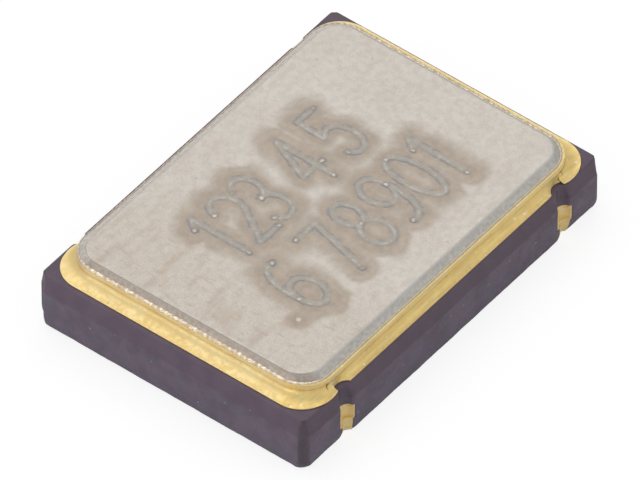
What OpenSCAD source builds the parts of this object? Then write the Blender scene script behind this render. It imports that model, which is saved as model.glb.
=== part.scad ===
// Surface-mount crystal oscillator with four solder terminals: a co-fired
// ceramic body, a gold-plated seal ring brazed to it and a seam-welded lid.
// Inside are the quartz blank on its shelf and the chip in its well.
// X runs along the long sides, Y along the short sides and Z is up.
// The origin is the middle of the plane that the solder lands stand on.
// Terminal 1 is at -X -Y, and the numbers run counter-clockwise from above.

/* [Ceramic body] */
// Length over the ceramic, along X
body_l = 7; // [5.8:0.1:8.5]
// Width over the ceramic, along Y
body_w = 5; // [4.1:0.1:6.2]
// Thickness of the bottom layer, the floor of the cavity
floor_t = 0.26; // [0.15:0.01:0.4]
// Thickness of the layer with the chip well
well_t = 0.22; // [0.2:0.01:0.3]
// Thickness of the layer that forms the quartz shelf
shelf_t = 0.22; // [0.18:0.01:0.3]
// Thickness of the top frame layer
frame_t = 0.26; // [0.2:0.01:0.4]
// Ceramic left between the cavity and the body's ends
end_wall = 0.85; // [0.8:0.01:0.95]
// Ceramic left between the cavity and the body's long sides
side_wall = 0.7; // [0.65:0.01:0.78]
// Corner radius of the cavity
cavity_r = 0.2; // [0.05:0.01:0.3]

/* [Snapped edges] */
// How far the upper snap groove cuts in at the top face
top_groove_d = 0.055; // [0.02:0.005:0.08]
// How far down the side the upper snap groove reaches
top_groove_h = 0.28; // [0.15:0.01:0.3]
// How far the lower snap groove cuts in at the underside
low_groove_d = 0.035; // [0.02:0.005:0.09]
// How far up the side the lower snap groove reaches
low_groove_h = 0.22; // [0.1:0.01:0.46]
// Radius of the quarter-round notch at each corner
notch_r = 0.14; // [0.1:0.01:0.2]

/* [Terminals] */
// Distance from the body's end to the middle of a castellation
cast_end = 0.96; // [0.9:0.01:1.1]
// Radius of the castellation in the two lower layers
cast_r = 0.19; // [0.17:0.005:0.22]
// Radius of the bare castellation in the two upper layers
cast_upper_r = 0.165; // [0.14:0.005:0.18]
// Length of a solder land, along X
land_l = 1.4; // [1.1:0.05:1.5]
// Width of a solder land, from the edge inwards
land_w = 1.15; // [0.8:0.05:1.3]
// Bare ceramic between a land and the edge of the underside
land_gap = 0.06; // [0.01:0.01:0.1]
// Corner radius of a solder land
land_r = 0.1; // [0.03:0.01:0.2]
// Thickness of the printed and plated metal outside the cavity
metal_t = 0.02; // [0.015:0.005:0.03]
// Thickness of the printed leads and pads inside the ceramic
print_t = 0.015; // [0.01:0.005:0.02]

/* [Seal] */
// Bare ceramic between the seal pad and the body's ends
pad_end = 0.14; // [0.12:0.01:0.18]
// Bare ceramic between the seal pad and the body's long sides
pad_side = 0.1; // [0.09:0.01:0.13]
// Outer corner radius of the seal pad
pad_r = 0.5; // [0.42:0.01:0.6]
// Width of the pad outside the ring at the ends
ring_end = 0.22; // [0.16:0.01:0.24]
// Width of the pad outside the ring at the long sides
ring_side = 0.12; // [0.12:0.01:0.14]
// Width of the ring's section
ring_w = 0.4; // [0.3:0.01:0.42]
// Height of the ring
ring_h = 0.24; // [0.2:0.01:0.35]
// Outer corner radius of the ring
ring_r = 0.5; // [0.45:0.01:0.6]
// Radius of the concave braze fillet at the foot of the ring
braze_r = 0.1; // [0.06:0.01:0.11]
// Edge thickness of the braze fillet
braze_tip = 0.01; // [0.005:0.005:0.01]
// Gap between a castellation and the metal cut back round it
relief_gap = 0.04; // [0.01:0.005:0.05]

/* [Lid] */
// Thickness of the lid
lid_t = 0.1; // [0.08:0.01:0.15]
// How far the lid's edge stays inside the ring's
lid_step = 0.01; // [0:0.005:0.03]
// Width of the rounded welding band along the lid's edge
band_w = 0.16; // [0.1:0.01:0.2]
// Thickness of the lid's edge under the welding band
lid_edge_t = 0.035; // [0.02:0.005:0.05]

/* [Quartz] */
// Length of the shelf under the quartz blank's fixed end
shelf_l = 0.9; // [0.8:0.05:1]
// Gap between the blank's fixed end and the cavity's end wall
blank_gap = 0.2; // [0.12:0.01:0.25]
// Gap between the blank's free end and the cavity's far end wall
free_gap = 0.9; // [0.4:0.05:1.2]
// Width of the quartz blank
blank_w = 1.8; // [1.5:0.05:2]
// Thickness of the quartz blank
blank_t = 0.09; // [0.06:0.01:0.15]
// Thickness of the two electrode films
film_t = 0.01; // [0.005:0.005:0.01]
// Distance from the blank's long edge to the middle of a mount pad
mount_inset = 0.35; // [0.3:0.01:0.4]
// Height of the adhesive between a mount pad and the blank
glue_t = 0.03; // [0.02:0.005:0.05]
// Largest radius of an adhesive dot
glue_r = 0.25; // [0.18:0.01:0.27]

/* [Chip] */
// Length of the chip, along X
chip_l = 1.25; // [1:0.05:1.35]
// Width of the chip, along Y
chip_w = 1.05; // [0.95:0.05:1.15]
// Thickness of the chip
chip_t = 0.15; // [0.1:0.01:0.16]
// Gap all round between the chip and the wall of its well
well_gap = 0.3; // [0.2:0.01:0.32]
// Length of the ledge between the shelf and the well
ledge_l = 0.62; // [0.55:0.01:0.65]
// Thickness of the glue under the chip
attach_t = 0.02; // [0.01:0.005:0.03]
// Side of a square bond pad on the chip
bond_pad = 0.1; // [0.08:0.01:0.12]
// Thickness of a bond pad on the chip
bond_pad_h = 0.01; // [0.005:0.005:0.015]
// Thickness of a bond wire
wire_t = 0.03; // [0.02:0.005:0.04]
// Height of a wire's loop above its higher end
wire_rise = 0.1; // [0.06:0.01:0.12]

/* [Hidden] */
$fn = 48;

// Overshoot of a cutting tool past the face that it leaves
past = 0.1;
// Sides of the flat-faced vias and ball bonds
via_sides = 12;

// Heights of the layers, from the underside of the lands
base_z = metal_t;
well_z = base_z + floor_t;
ledge_z = well_z + well_t;
shelf_z = ledge_z + shelf_t;
top_z = shelf_z + frame_t;
ring_z = top_z + metal_t;
lid_z = ring_z + ring_h;

// Plan sizes
cast_x = body_l / 2 - cast_end;
cavity_l = body_l - 2 * end_wall;
cavity_w = body_w - 2 * side_wall;
pad_l = body_l - 2 * pad_end;
pad_w = body_w - 2 * pad_side;
ring_l = pad_l - 2 * ring_end;
ring_wid = pad_w - 2 * ring_side;
lid_l = ring_l - 2 * lid_step;
lid_w = ring_wid - 2 * lid_step;
lid_r = ring_r - lid_step;
// Metal kept between the cavity's edge and the inside of the seal pad
pad_lip = 0.03;

// Chip well
well_l = chip_l + 2 * well_gap;
well_w = chip_w + 2 * well_gap;
shelf_x = -cavity_l / 2 + shelf_l;
chip_x = shelf_x + ledge_l + well_l / 2;
die_pad_rim = 0.1;
attach_rim = 0.05;
attach_z = well_z + print_t;
chip_z = attach_z + attach_t;
chip_top = chip_z + chip_t;

// Printed leads and bond fingers
lead_w = 0.14;
finger_w = 0.2;
finger_l = 0.32;
finger_gap = 0.05;
finger_x = 0.42;
via_r = 0.08;
collar_r = cast_r + 0.05;
collar_gap = 0.06;

// Quartz and its mounting
blank_x = -cavity_l / 2 + blank_gap;
blank_l = cavity_l - blank_gap - free_gap;
glue_z = shelf_z + print_t;
film_z = glue_z + glue_t;
blank_z = film_z + film_t;
mount_x = blank_x + glue_r;
mount_y = blank_w / 2 - mount_inset;
mount_l = 0.56;
mount_w = 0.6;
tab_w = 0.5;
tab_l = 0.5;
// Bare quartz between the electrode area and the long edges, the end of
// the tabs and the free end
electrode_side = 0.25;
electrode_gap = 0.3;
electrode_end = 0.6;

// Bond wires
ball_r = 0.045;
ball_h = 0.02;
wire_steps = 10;
pad_inset = 0.1;
crystal_bond_y = 0.28;

gold = [0.93, 0.83, 0.56];
ceramic = [0.39, 0.35, 0.40];
nickel = [0.80, 0.77, 0.73];

// A rectangle with round corners, centred on the origin
module round_rect(l, w, r) {
    square([l - 2 * r, w], center = true);
    square([l, w - 2 * r], center = true);
    for (sx = [-1, 1], sy = [-1, 1])
        translate([sx * (l / 2 - r), sy * (w / 2 - r)])
            circle(r);
}

// The child outline carried round a rectangle with round corners.
// The outline's x = 0 is the centre of the corner radius r.
module carry_round(l, w, r) {
    for (k = [0:3]) {
        a = (k % 2 == 0 ? l : w) / 2 - r;
        b = (k % 2 == 0 ? w : l) / 2 - r;
        rotate([0, 0, 90 * k]) {
            translate([-a, b, 0])
                rotate([90, 0, 90])
                    linear_extrude(2 * a)
                        children();
            translate([a, b, 0])
                rotate_extrude(angle = 90)
                    children();
        }
    }
}

// The outline of the body's cross-section, with a snap groove's flank
// at each of its four edges
module body_section(width) {
    h = width / 2;
    polygon([
        [-h + low_groove_d, base_z],
        [h - low_groove_d, base_z],
        [h, base_z + low_groove_h],
        [h, top_z - top_groove_h],
        [h - top_groove_d, top_z],
        [-h + top_groove_d, top_z],
        [-h, top_z - top_groove_h],
        [-h, base_z + low_groove_h]
    ]);
}

// The body before its notches and cavity are cut
module snapped_block() {
    intersection() {
        rotate([90, 0, 0])
            linear_extrude(body_w, center = true)
                body_section(body_l);
        rotate([90, 0, 90])
            linear_extrude(body_l, center = true)
                body_section(body_w);
    }
}

// Which side of the middle terminal i is on, along X and along Y, and
// which side the quartz blank's connection i is on, along Y
function side_x(i) = (i == 1 || i == 4) ? -1 : 1;
function side_y(i) = i < 3 ? -1 : 1;
function crystal_side(i) = i == 1 ? -1 : 1;

// The child at the middle of castellation i, in a frame whose +Y runs from
// the body's side face inwards
module at_castellation(i) {
    translate([side_x(i) * cast_x, side_y(i) * body_w / 2, 0])
        mirror([0, (side_y(i) + 1) / 2, 0])
            children();
}

// Upright round cutter from one height to another
module upright(r, z0, z1) {
    translate([0, 0, z0])
        cylinder(h = z1 - z0, r = r);
}

module castellation_cuts() {
    for (i = [1:4])
        at_castellation(i) {
            upright(cast_r, 0, ledge_z);
            upright(cast_upper_r, ledge_z, top_z + past);
        }
}

module corner_notches() {
    for (sx = [-1, 1], sy = [-1, 1])
        translate([sx * body_l / 2, sy * body_w / 2, 0])
            upright(notch_r, 0, top_z + past);
}

// The stepped cavity: the well, the ledge level and the upper room
module cavity() {
    translate([chip_x, 0, well_z])
        linear_extrude(well_t + past)
            round_rect(well_l, well_w, cavity_r);
    translate([0, 0, shelf_z])
        linear_extrude(frame_t + past)
            round_rect(cavity_l, cavity_w, cavity_r);
    translate([0, 0, ledge_z])
        linear_extrude(shelf_t + past)
            intersection() {
                round_rect(cavity_l, cavity_w, cavity_r);
                translate([shelf_x, -cavity_w / 2])
                    square([cavity_l - shelf_l, cavity_w]);
            }
}

module ceramic_base() {
    color(ceramic)
        difference() {
            snapped_block();
            castellation_cuts();
            corner_notches();
            cavity();
            for (i = [1:4])
                inner_lead_shape(i);
            for (i = [1:2])
                crystal_lead_shape(i);
        }
}

// Cuts the seal metal back round the castellations
module reliefs(height) {
    for (i = [1:4])
        at_castellation(i)
            upright(cast_upper_r + relief_gap, 0, height);
}

module seal_pad() {
    color(gold)
        difference() {
            translate([0, 0, top_z])
                linear_extrude(metal_t)
                    difference() {
                        round_rect(pad_l, pad_w, pad_r);
                        round_rect(cavity_l + 2 * pad_lip, cavity_w + 2 * pad_lip, cavity_r + pad_lip);
                    }
            reliefs(top_z + metal_t + past);
        }
}

// Concave braze fillet round the foot of the ring
module braze_fillet() {
    reach = braze_r + braze_tip;
    color(gold)
        difference() {
            translate([0, 0, ring_z])
                carry_round(ring_l, ring_wid, ring_r)
                    translate([ring_r, 0])
                        difference() {
                            square(reach);
                            translate([reach, reach])
                                circle(braze_r);
                        }
            reliefs(ring_z + ring_h);
        }
}

module seal_ring() {
    color(gold)
        translate([0, 0, ring_z])
            carry_round(ring_l, ring_wid, ring_r)
                translate([ring_r - ring_w, 0])
                    square([ring_w, ring_h]);
}

// Outline of the lid's rim: a quarter ellipse falls from the flat top
// to the thin edge
module lid_rim() {
    drop = lid_t - lid_edge_t;
    steps = 6;
    flank = [for (k = [0:steps])
        let (a = 90 * k / steps)
        [lid_r - band_w + band_w * sin(a), lid_edge_t + drop * cos(a)]];
    polygon(concat([[0, lid_t]], flank, [[lid_r, 0], [0, 0]]));
}

module lid() {
    color(nickel)
        translate([0, 0, lid_z]) {
            carry_round(lid_l, lid_w, lid_r)
                lid_rim();
            translate([-lid_l / 2 + lid_r, -lid_w / 2 + lid_r, 0])
                cube([lid_l - 2 * lid_r, lid_w - 2 * lid_r, lid_t]);
        }
}

// A land under the body with its plating up the castellation
module solder_terminal(i) {
    plated_r = cast_r - metal_t;
    edge = low_groove_d + land_gap;
    color(gold)
        at_castellation(i) {
            difference() {
                translate([0, edge + land_w / 2, 0])
                    linear_extrude(metal_t)
                        round_rect(land_l, land_w, land_r);
                upright(plated_r, -past, metal_t + past);
            }
            intersection() {
                difference() {
                    upright(cast_r, base_z, ledge_z);
                    upright(plated_r, base_z - past, ledge_z + past);
                }
                translate([-side_x(i) * cast_x, body_w / 2, 0])
                    snapped_block();
            }
        }
}

// A lead printed on the ledge layer: a collar round the castellation,
// a track to the well and a bond finger at its edge
module inner_lead_shape(i) {
    row = (body_w - well_w) / 2 - finger_gap - finger_l;
    to_finger = chip_x + side_x(i) * (finger_x - cast_x);
    at_castellation(i)
        translate([0, 0, ledge_z])
            linear_extrude(print_t)
                difference() {
                    union() {
                        intersection() {
                            circle(collar_r);
                            translate([-collar_r, collar_gap])
                                square([2 * collar_r, collar_r]);
                        }
                        translate([-lead_w / 2, collar_gap])
                            square([lead_w, row + lead_w - collar_gap]);
                        translate([min(0, to_finger) - lead_w / 2, row])
                            square([abs(to_finger) + lead_w, lead_w]);
                        translate([to_finger - finger_w / 2, row])
                            square([finger_w, finger_l]);
                    }
                    circle(cast_upper_r);
                }
}

module inner_lead(i) {
    color(gold)
        inner_lead_shape(i);
}

// A bond finger on the ledge, its track under the shelf and the via
// that climbs to the mount pad
module crystal_lead_shape(i) {
    finger_end = shelf_x + ledge_l - finger_gap;
    translate([0, crystal_side(i) * mount_y, ledge_z]) {
        linear_extrude(print_t)
            union() {
                translate([mount_x - lead_w / 2, -lead_w / 2])
                    square([finger_end - mount_x, lead_w]);
                translate([finger_end - finger_l, -finger_w / 2])
                    square([finger_l, finger_w]);
            }
        translate([mount_x, 0, 0])
            cylinder(h = shelf_t, r = via_r, $fn = via_sides);
    }
}

module crystal_lead(i) {
    color(gold)
        crystal_lead_shape(i);
}

module mount_pad(i) {
    color(gold)
        translate([mount_x, crystal_side(i) * mount_y, shelf_z + print_t / 2])
            cube([mount_l, mount_w, print_t], center = true);
}

// Silver-filled adhesive, bulging between pad and blank
module adhesive_dot(i) {
    steps = 4;
    bulge = glue_t / 2;
    side = [for (k = [0:steps])
        let (a = -90 + 180 * k / steps)
        [glue_r - bulge + bulge * cos(a), bulge + bulge * sin(a)]];
    color("silver")
        translate([mount_x, crystal_side(i) * mount_y, glue_z])
            rotate_extrude()
                polygon(concat([[0, 0]], side, [[0, glue_t]]));
}

module quartz_blank() {
    color([0.85, 0.9, 0.95, 0.6])
        translate([blank_x, -blank_w / 2, blank_z])
            cube([blank_l, blank_w, blank_t]);
}

// Electrode area with the tab that runs to the fixed end
module electrode_outline(side) {
    area_x = tab_l + electrode_gap;
    area_w = blank_w - 2 * electrode_side;
    translate([blank_x + area_x, -area_w / 2])
        square([blank_l - area_x - electrode_end, area_w]);
    translate([blank_x, side * mount_y - tab_w / 2])
        square([area_x + tab_l, tab_w]);
}

module upper_electrode() {
    color("lightgray") {
        translate([0, 0, blank_z + blank_t])
            linear_extrude(film_t)
                electrode_outline(1);
        translate([blank_x - film_t, mount_y - tab_w / 2, film_z])
            cube([film_t, tab_w, blank_t + 2 * film_t]);
        translate([blank_x, mount_y - tab_w / 2, film_z])
            cube([tab_l, tab_w, film_t]);
    }
}

module lower_electrode() {
    color("lightgray")
        translate([0, 0, film_z])
            linear_extrude(film_t)
                electrode_outline(-1);
}

// A plate centred on the chip
module chip_plate(rim, z, t) {
    l = chip_l + 2 * rim;
    w = chip_w + 2 * rim;
    translate([chip_x - l / 2, -w / 2, z])
        cube([l, w, t]);
}

module die_pad() {
    color(gold)
        chip_plate(die_pad_rim, well_z, print_t);
}

module die_attach() {
    color("gray")
        chip_plate(attach_rim, attach_z, attach_t);
}

module chip() {
    color("dimgray")
        chip_plate(0, chip_z, chip_t);
}

// Where wire i starts on the chip and where it ends on its finger.
// Wires 1 to 4 go to the inner leads, and 5 and 6 to the crystal leads.
function wire_start(i) = i < 5
    ? [chip_x + side_x(i) * finger_x, side_y(i) * (chip_w / 2 - pad_inset)]
    : [chip_x - chip_l / 2 + pad_inset, crystal_side(i - 4) * crystal_bond_y];
function wire_end(i) = i < 5
    ? [chip_x + side_x(i) * finger_x, side_y(i) * (well_w / 2 + finger_gap + finger_l / 2)]
    : [shelf_x + ledge_l - finger_gap - finger_l / 2, crystal_side(i - 4) * mount_y];

module chip_bond_pads() {
    color("silver")
        for (i = [1:6])
            translate([wire_start(i)[0], wire_start(i)[1], chip_top + bond_pad_h / 2])
                cube([bond_pad, bond_pad, bond_pad_h], center = true);
}

// A wire of square section in one upright plane, with a ball on the chip
// and a loop that comes down on the finger
module bond_wire(i) {
    from = wire_start(i);
    to = wire_end(i);
    span = norm(to - from);
    turn = atan2(to[1] - from[1], to[0] - from[0]);
    z0 = chip_top + bond_pad_h + ball_h;
    z1 = ledge_z + print_t;
    rise = max(z0, z1) + wire_rise;
    // Height of the wire's underside along its span, from 0 to 1
    function sag(s) = z0 + (z1 - z0) * s + 4 * (rise - (z0 + z1) / 2) * s * (1 - s);
    under = [for (k = [0:wire_steps]) [span * k / wire_steps, sag(k / wire_steps)]];
    over = [for (k = [wire_steps:-1:0]) [span * k / wire_steps, sag(k / wire_steps) + wire_t]];
    color(gold)
        translate([from[0], from[1], 0])
            rotate([0, 0, turn]) {
                rotate([90, 0, 0])
                    linear_extrude(wire_t, center = true)
                        polygon(concat(under, over));
                translate([0, 0, chip_top + bond_pad_h])
                    cylinder(h = ball_h + wire_t, r = ball_r, $fn = via_sides);
                translate([span - wire_t, -wire_t / 2, z1])
                    cube([3 * wire_t, wire_t, wire_t]);
            }
}

ceramic_base();
seal_pad();
braze_fillet();
seal_ring();
lid();
for (i = [1:4]) {
    solder_terminal(i);
    inner_lead(i);
}
for (i = [1:2]) {
    crystal_lead(i);
    mount_pad(i);
    adhesive_dot(i);
}
quartz_blank();
upper_electrode();
lower_electrode();
die_pad();
die_attach();
chip();
chip_bond_pads();
for (i = [1:6])
    bond_wire(i);
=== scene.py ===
import math
import random

import bpy
import numpy as np
from mathutils import Matrix, Vector, noise


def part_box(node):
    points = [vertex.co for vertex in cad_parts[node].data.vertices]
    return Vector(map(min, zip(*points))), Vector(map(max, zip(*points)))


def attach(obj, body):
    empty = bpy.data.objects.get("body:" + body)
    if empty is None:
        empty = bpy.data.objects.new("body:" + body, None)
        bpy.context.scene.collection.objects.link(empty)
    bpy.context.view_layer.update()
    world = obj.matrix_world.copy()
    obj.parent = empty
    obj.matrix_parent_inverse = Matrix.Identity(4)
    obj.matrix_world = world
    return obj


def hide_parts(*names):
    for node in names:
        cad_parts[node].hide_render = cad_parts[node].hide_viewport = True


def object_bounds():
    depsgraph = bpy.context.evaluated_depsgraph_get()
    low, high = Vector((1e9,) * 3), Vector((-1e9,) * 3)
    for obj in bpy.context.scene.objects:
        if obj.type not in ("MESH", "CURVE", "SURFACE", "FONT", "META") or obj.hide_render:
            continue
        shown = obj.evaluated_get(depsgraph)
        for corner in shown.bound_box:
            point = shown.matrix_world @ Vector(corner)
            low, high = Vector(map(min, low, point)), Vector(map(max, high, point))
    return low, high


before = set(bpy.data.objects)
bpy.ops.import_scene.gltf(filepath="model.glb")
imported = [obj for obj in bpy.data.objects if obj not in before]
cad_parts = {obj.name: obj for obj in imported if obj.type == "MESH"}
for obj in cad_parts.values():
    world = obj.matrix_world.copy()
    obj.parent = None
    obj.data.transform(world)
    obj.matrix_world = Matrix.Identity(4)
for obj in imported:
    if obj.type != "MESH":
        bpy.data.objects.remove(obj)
cad_low, cad_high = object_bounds()

# ---------------------------------------------------------------- sizes, mm
MM = 0.001


def box_mm(node):
    """Lowest and highest corner of a CAD node, in millimetres."""
    low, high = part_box(node)
    return np.array(low) / MM, np.array(high) / MM


BODY_LOW, BODY_HIGH = box_mm("ceramic_base")
PAD_LOW, PAD_HIGH = box_mm("seal_pad")
RING_LOW, RING_HIGH = box_mm("seal_ring")
LID_LOW, LID_HIGH = box_mm("lid")
LAND_LOW, LAND_HIGH = box_mm("solder_terminal_2")

BODY_L = BODY_HIGH[0] - BODY_LOW[0]
BODY_W = BODY_HIGH[1] - BODY_LOW[1]
BASE_Z = BODY_LOW[2]
TOP_Z = BODY_HIGH[2]
PAD_TOP_Z = PAD_HIGH[2]
LID_Z = LID_LOW[2]
LID_TOP_Z = LID_HIGH[2]

# Heights of the cavity's steps, which the model's layers set, and of the top of the metal on
# the castellations' walls
WELL_Z = 0.28
LEDGE_Z = 0.50
SHELF_Z = 0.72
COAT_TOP_Z = 0.565

# Snap grooves. The upper ones draw the -Y, +X, +Y and -X sides in by these depths, because the
# part snapped a little off the middle.
TOP_GROOVE_D = (0.080, 0.095, 0.064, 0.074)
TOP_GROOVE_H = 0.28
LOW_GROOVE_D = 0.035
LOW_GROOVE_H = 0.22
LOW_GROOVE_CURVE = 1.6

# The short flanks between a castellation and a corner are worn back at their foot
STUB_FOOT_D = 0.038
STUB_FOOT_H = 0.30
STUB_RAMP = 0.05

# Castellations: radius and sideways shift beside the metal, above it and at the foot, how far
# the foot flares, and how dark the painted shade in them is
CAST_X = (LAND_LOW[0] + LAND_HIGH[0]) / 2
CAST_R = 0.165
CAST_SHIFT = 0.030
CAST_UPPER_R = 0.142
CAST_UPPER_SHIFT = 0.010
CAST_FOOT_R = 0.118
CAST_FOOT_SHIFT = 0.035
CAST_FOOT_FLARE = 0.040
CAST_SHADE = 0.3

# Corner notches, which run out into round corners at the foot
NOTCH_R = 0.16
NOTCH_FOOT_R = 0.23
NOTCH_RUN_OUT = 0.16
NOTCH_RUN_CURVE = 1.5

# Cavity, shelf and well
CAVITY_WALL_X = 0.85
CAVITY_WALL_Y = 0.70
CAVITY_L = BODY_L - 2 * CAVITY_WALL_X
CAVITY_W = BODY_W - 2 * CAVITY_WALL_Y
CAVITY_R = 0.2
SHELF_X = -1.75
SHELF_CORNER_R = 0.001
WELL_SIZE = (1.85, 1.65)
WELL_X = -0.205

# Seal metal, which lies a little off the body's middle
SEAL_R = 0.5
SEAL_SHIFT = np.array([0.012, -0.010])
PAD_LIP = 0.03
RELIEF_R = 0.205
FILLET_LIP = 0.006
FILLET_RISE = 0.13
RING_WALL = 0.4
RING_TRIM = 0.018

# Lid, which lies a little off the ring's middle
LID_R = 0.48
LID_BAND = np.array([0.095, 0.140])
LID_EDGE_T = 0.012
LID_SHIFT = np.array([-0.010, -0.010])
LID_TRIM = np.array([0.055, 0.075])

# Solder lands and the metal that runs up from them
METAL_T = 0.02
LAND_W = 1.15
LAND_L = 1.4
LAND_R = 0.1
LAND_GAP = 0.06

# ---------------------------------------------------------------- mesh help
CORNER_SIGNS = ((-1, -1), (1, -1), (1, 1), (-1, 1))
FAR_AWAY = 9.0  # mm, more than any distance on the part
EDGE_TURNS = 3


def add_piece(name, points, faces, nodes, crease=40.0):
    """A mesh piece from points in millimetres, smooth up to the crease angle."""
    mesh = bpy.data.meshes.new(name)
    mesh.from_pydata((np.asarray(points) * MM).tolist(), [], faces)
    mesh.update()
    piece = bpy.data.objects.new(name, mesh)
    bpy.context.scene.collection.objects.link(piece)
    mesh.shade_smooth()
    mesh.set_sharp_from_angle(angle=math.radians(crease))
    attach(piece, "root")
    if nodes:
        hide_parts(*nodes)
    return piece


def store(piece, name, values):
    """A value of each point, kept on the mesh for the piece's material."""
    layer = piece.data.attributes.new(name, "FLOAT", "POINT")
    layer.data.foreach_set("value", values.astype(np.float32))


def loft(rows, count, close_rows=False):
    """Quads between successive closed loops that have the same count of points."""
    faces = []
    last = rows if close_rows else rows - 1
    for row in range(last):
        upper = (row + 1) % rows
        for k in range(count):
            n = (k + 1) % count
            faces.append((row * count + k, row * count + n, upper * count + n, upper * count + k))
    return faces


def at_height(loop, z):
    """A plan loop lifted to one height."""
    loop = np.asarray(loop)
    return np.column_stack([loop, np.full(len(loop), z)])


def turned(points, quarter):
    """Plan points turned by a number of quarter turns."""
    points = np.asarray(points, float)
    for _ in range(quarter % 4):
        points = np.column_stack([-points[:, 1], points[:, 0]])
    return points


def spread(start, end, steps):
    """So many evenly spaced values from start up to, but without, end."""
    return start + (end - start) * np.arange(steps) / steps


def rounded_edge(edge, top):
    """Inset and height of the points that round off a metal edge below its top."""
    turns = [math.pi / 2 * step / EDGE_TURNS for step in range(1, EDGE_TURNS + 1)]
    return [(edge * (1 - math.cos(turn)), top - edge * (1 - math.sin(turn))) for turn in turns]


def wobble(point, cells_per_mm, seed):
    """Smooth noise between -1 and 1 at a point in millimetres."""
    x, y, z = point
    return noise.noise(Vector((x * cells_per_mm + seed, y * cells_per_mm, z * cells_per_mm)))


def waves(point, kinds):
    """Several wobbles at a point added up, each with its height, cells per mm and seed."""
    return sum(height * wobble(point, cells, seed) for height, cells, seed in kinds)


# ---------------------------------------------------------------- outlines
CORNER_STEPS = 9
CAST_STEPS = 19
STUB_STEPS = 20
MIDDLE_STEPS = 150
PLAIN_STEPS = 150
CORNER_SOFTENING = 2


def foot_wear(z):
    """How much further the short flanks beyond the castellations are worn back at one height."""
    return STUB_FOOT_D * max((BASE_Z + STUB_FOOT_H - z) / STUB_FOOT_H, 0) ** 2


def castellated_side(half, inset, radius, shift, corner, worn, run_out):
    """One long side in its own frame: how far along, how far in, and how much painted shade each
    point gets. The flanks between its castellations and its corners are worn back a little further."""
    along, inward, hollow_shade = [], [], []
    at = -half + corner
    for middle in (-CAST_X, CAST_X):
        centre = middle + shift
        before, after = (inset + worn, inset) if middle < 0 else (inset, inset + worn)
        end = centre - math.sqrt(max(radius**2 - before**2, 0))
        flat = spread(at, end, STUB_STEPS if middle < 0 else MIDDLE_STEPS)
        ramp = np.clip(run_out + (flat - at) / STUB_RAMP, 0, 1) if middle < 0 else 0 * flat
        along += list(flat)
        inward += list(inset + worn * ramp)
        hollow_shade += [0] * len(flat)
        begin = math.asin(min(before / radius, 1))
        stop = math.pi - math.asin(min(after / radius, 1))
        for k in range(CAST_STEPS):
            turn = begin + (stop - begin) * k / CAST_STEPS
            along.append(centre - radius * math.cos(turn))
            inward.append(radius * math.sin(turn))
            # painted shade, darkest in the middle of each castellation
            hollow_shade.append(CAST_SHADE * math.sin(math.pi * (k + 0.5) / CAST_STEPS))
        at = centre + math.sqrt(max(radius**2 - after**2, 0))
    flat = spread(at, half - corner, STUB_STEPS)
    along += list(flat)
    inward += list(inset + worn * np.clip(run_out + (half - corner - flat) / STUB_RAMP, 0, 1))
    hollow_shade += [0] * STUB_STEPS
    return np.array(along), np.array(inward), np.array(hollow_shade)


def plain_side(half, inset, corner):
    """One short side in its own frame."""
    along = spread(-half + corner, half - corner, PLAIN_STEPS)
    return along, np.full(len(along), inset), np.zeros(len(along))


def softened(loop, times):
    """A closed loop with its sharp turns rounded off."""
    for _ in range(times):
        loop = 0.5 * loop + 0.25 * (np.roll(loop, 1, axis=0) + np.roll(loop, -1, axis=0))
    return loop


def notch_rounding(z):
    """How far the corner notches have run out into round corners at one height."""
    return max(1 - (z - BASE_Z) / NOTCH_RUN_OUT, 0) ** NOTCH_RUN_CURVE


def body_outline(insets, cast_radius, cast_shift, notch_radius, worn, run_out):
    """The body's outline at one height, and how much painted shade each point gets in the notches
    and castellations. The sides run -Y, +X, +Y, -X. The corner notches run out into round corners."""
    loop, hollow_shade = [], []
    # painted shade in the corner notches, fading as they run out into round corners
    notch_shade = np.sin(math.pi * (np.arange(CORNER_STEPS) + 0.5) / CORNER_STEPS) * (1 - run_out)
    swing = spread(0, math.pi / 2, CORNER_STEPS)
    ends = [inset + worn * run_out * (1 - k % 2) for k, inset in enumerate(insets)]
    halves = (BODY_L / 2, BODY_W / 2)
    for k, inset in enumerate(insets):
        half, across = halves[k % 2], halves[1 - k % 2]
        corner = math.sqrt(notch_radius**2 - ends[k] ** 2)
        first = math.pi / 2 - math.asin(ends[k - 1] / notch_radius)
        last = math.asin(ends[k] / notch_radius)
        turn = spread(first, last, CORNER_STEPS)
        notch = np.column_stack(
            [-half + notch_radius * np.cos(turn), -across + notch_radius * np.sin(turn)]
        )
        start = math.sqrt(notch_radius**2 - ends[k - 1] ** 2) - across
        round_corner = np.column_stack(
            [
                corner - half + (ends[k - 1] - corner) * np.cos(swing),
                start + (ends[k] - across - start) * np.sin(swing),
            ]
        )
        if k % 2 == 0:
            shift = cast_shift if k == 0 else -cast_shift
            parts = castellated_side(half, inset, cast_radius, shift, corner, worn, run_out)
        else:
            parts = plain_side(half, inset, corner)
        along, inward, side_shade = parts
        side = np.column_stack([along, -across + inward])
        loop.append(turned(np.vstack([(1 - run_out) * notch + run_out * round_corner, side]), k))
        hollow_shade += [notch_shade, side_shade]
    return softened(np.vstack(loop), CORNER_SOFTENING), np.concatenate(hollow_shade)


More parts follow.
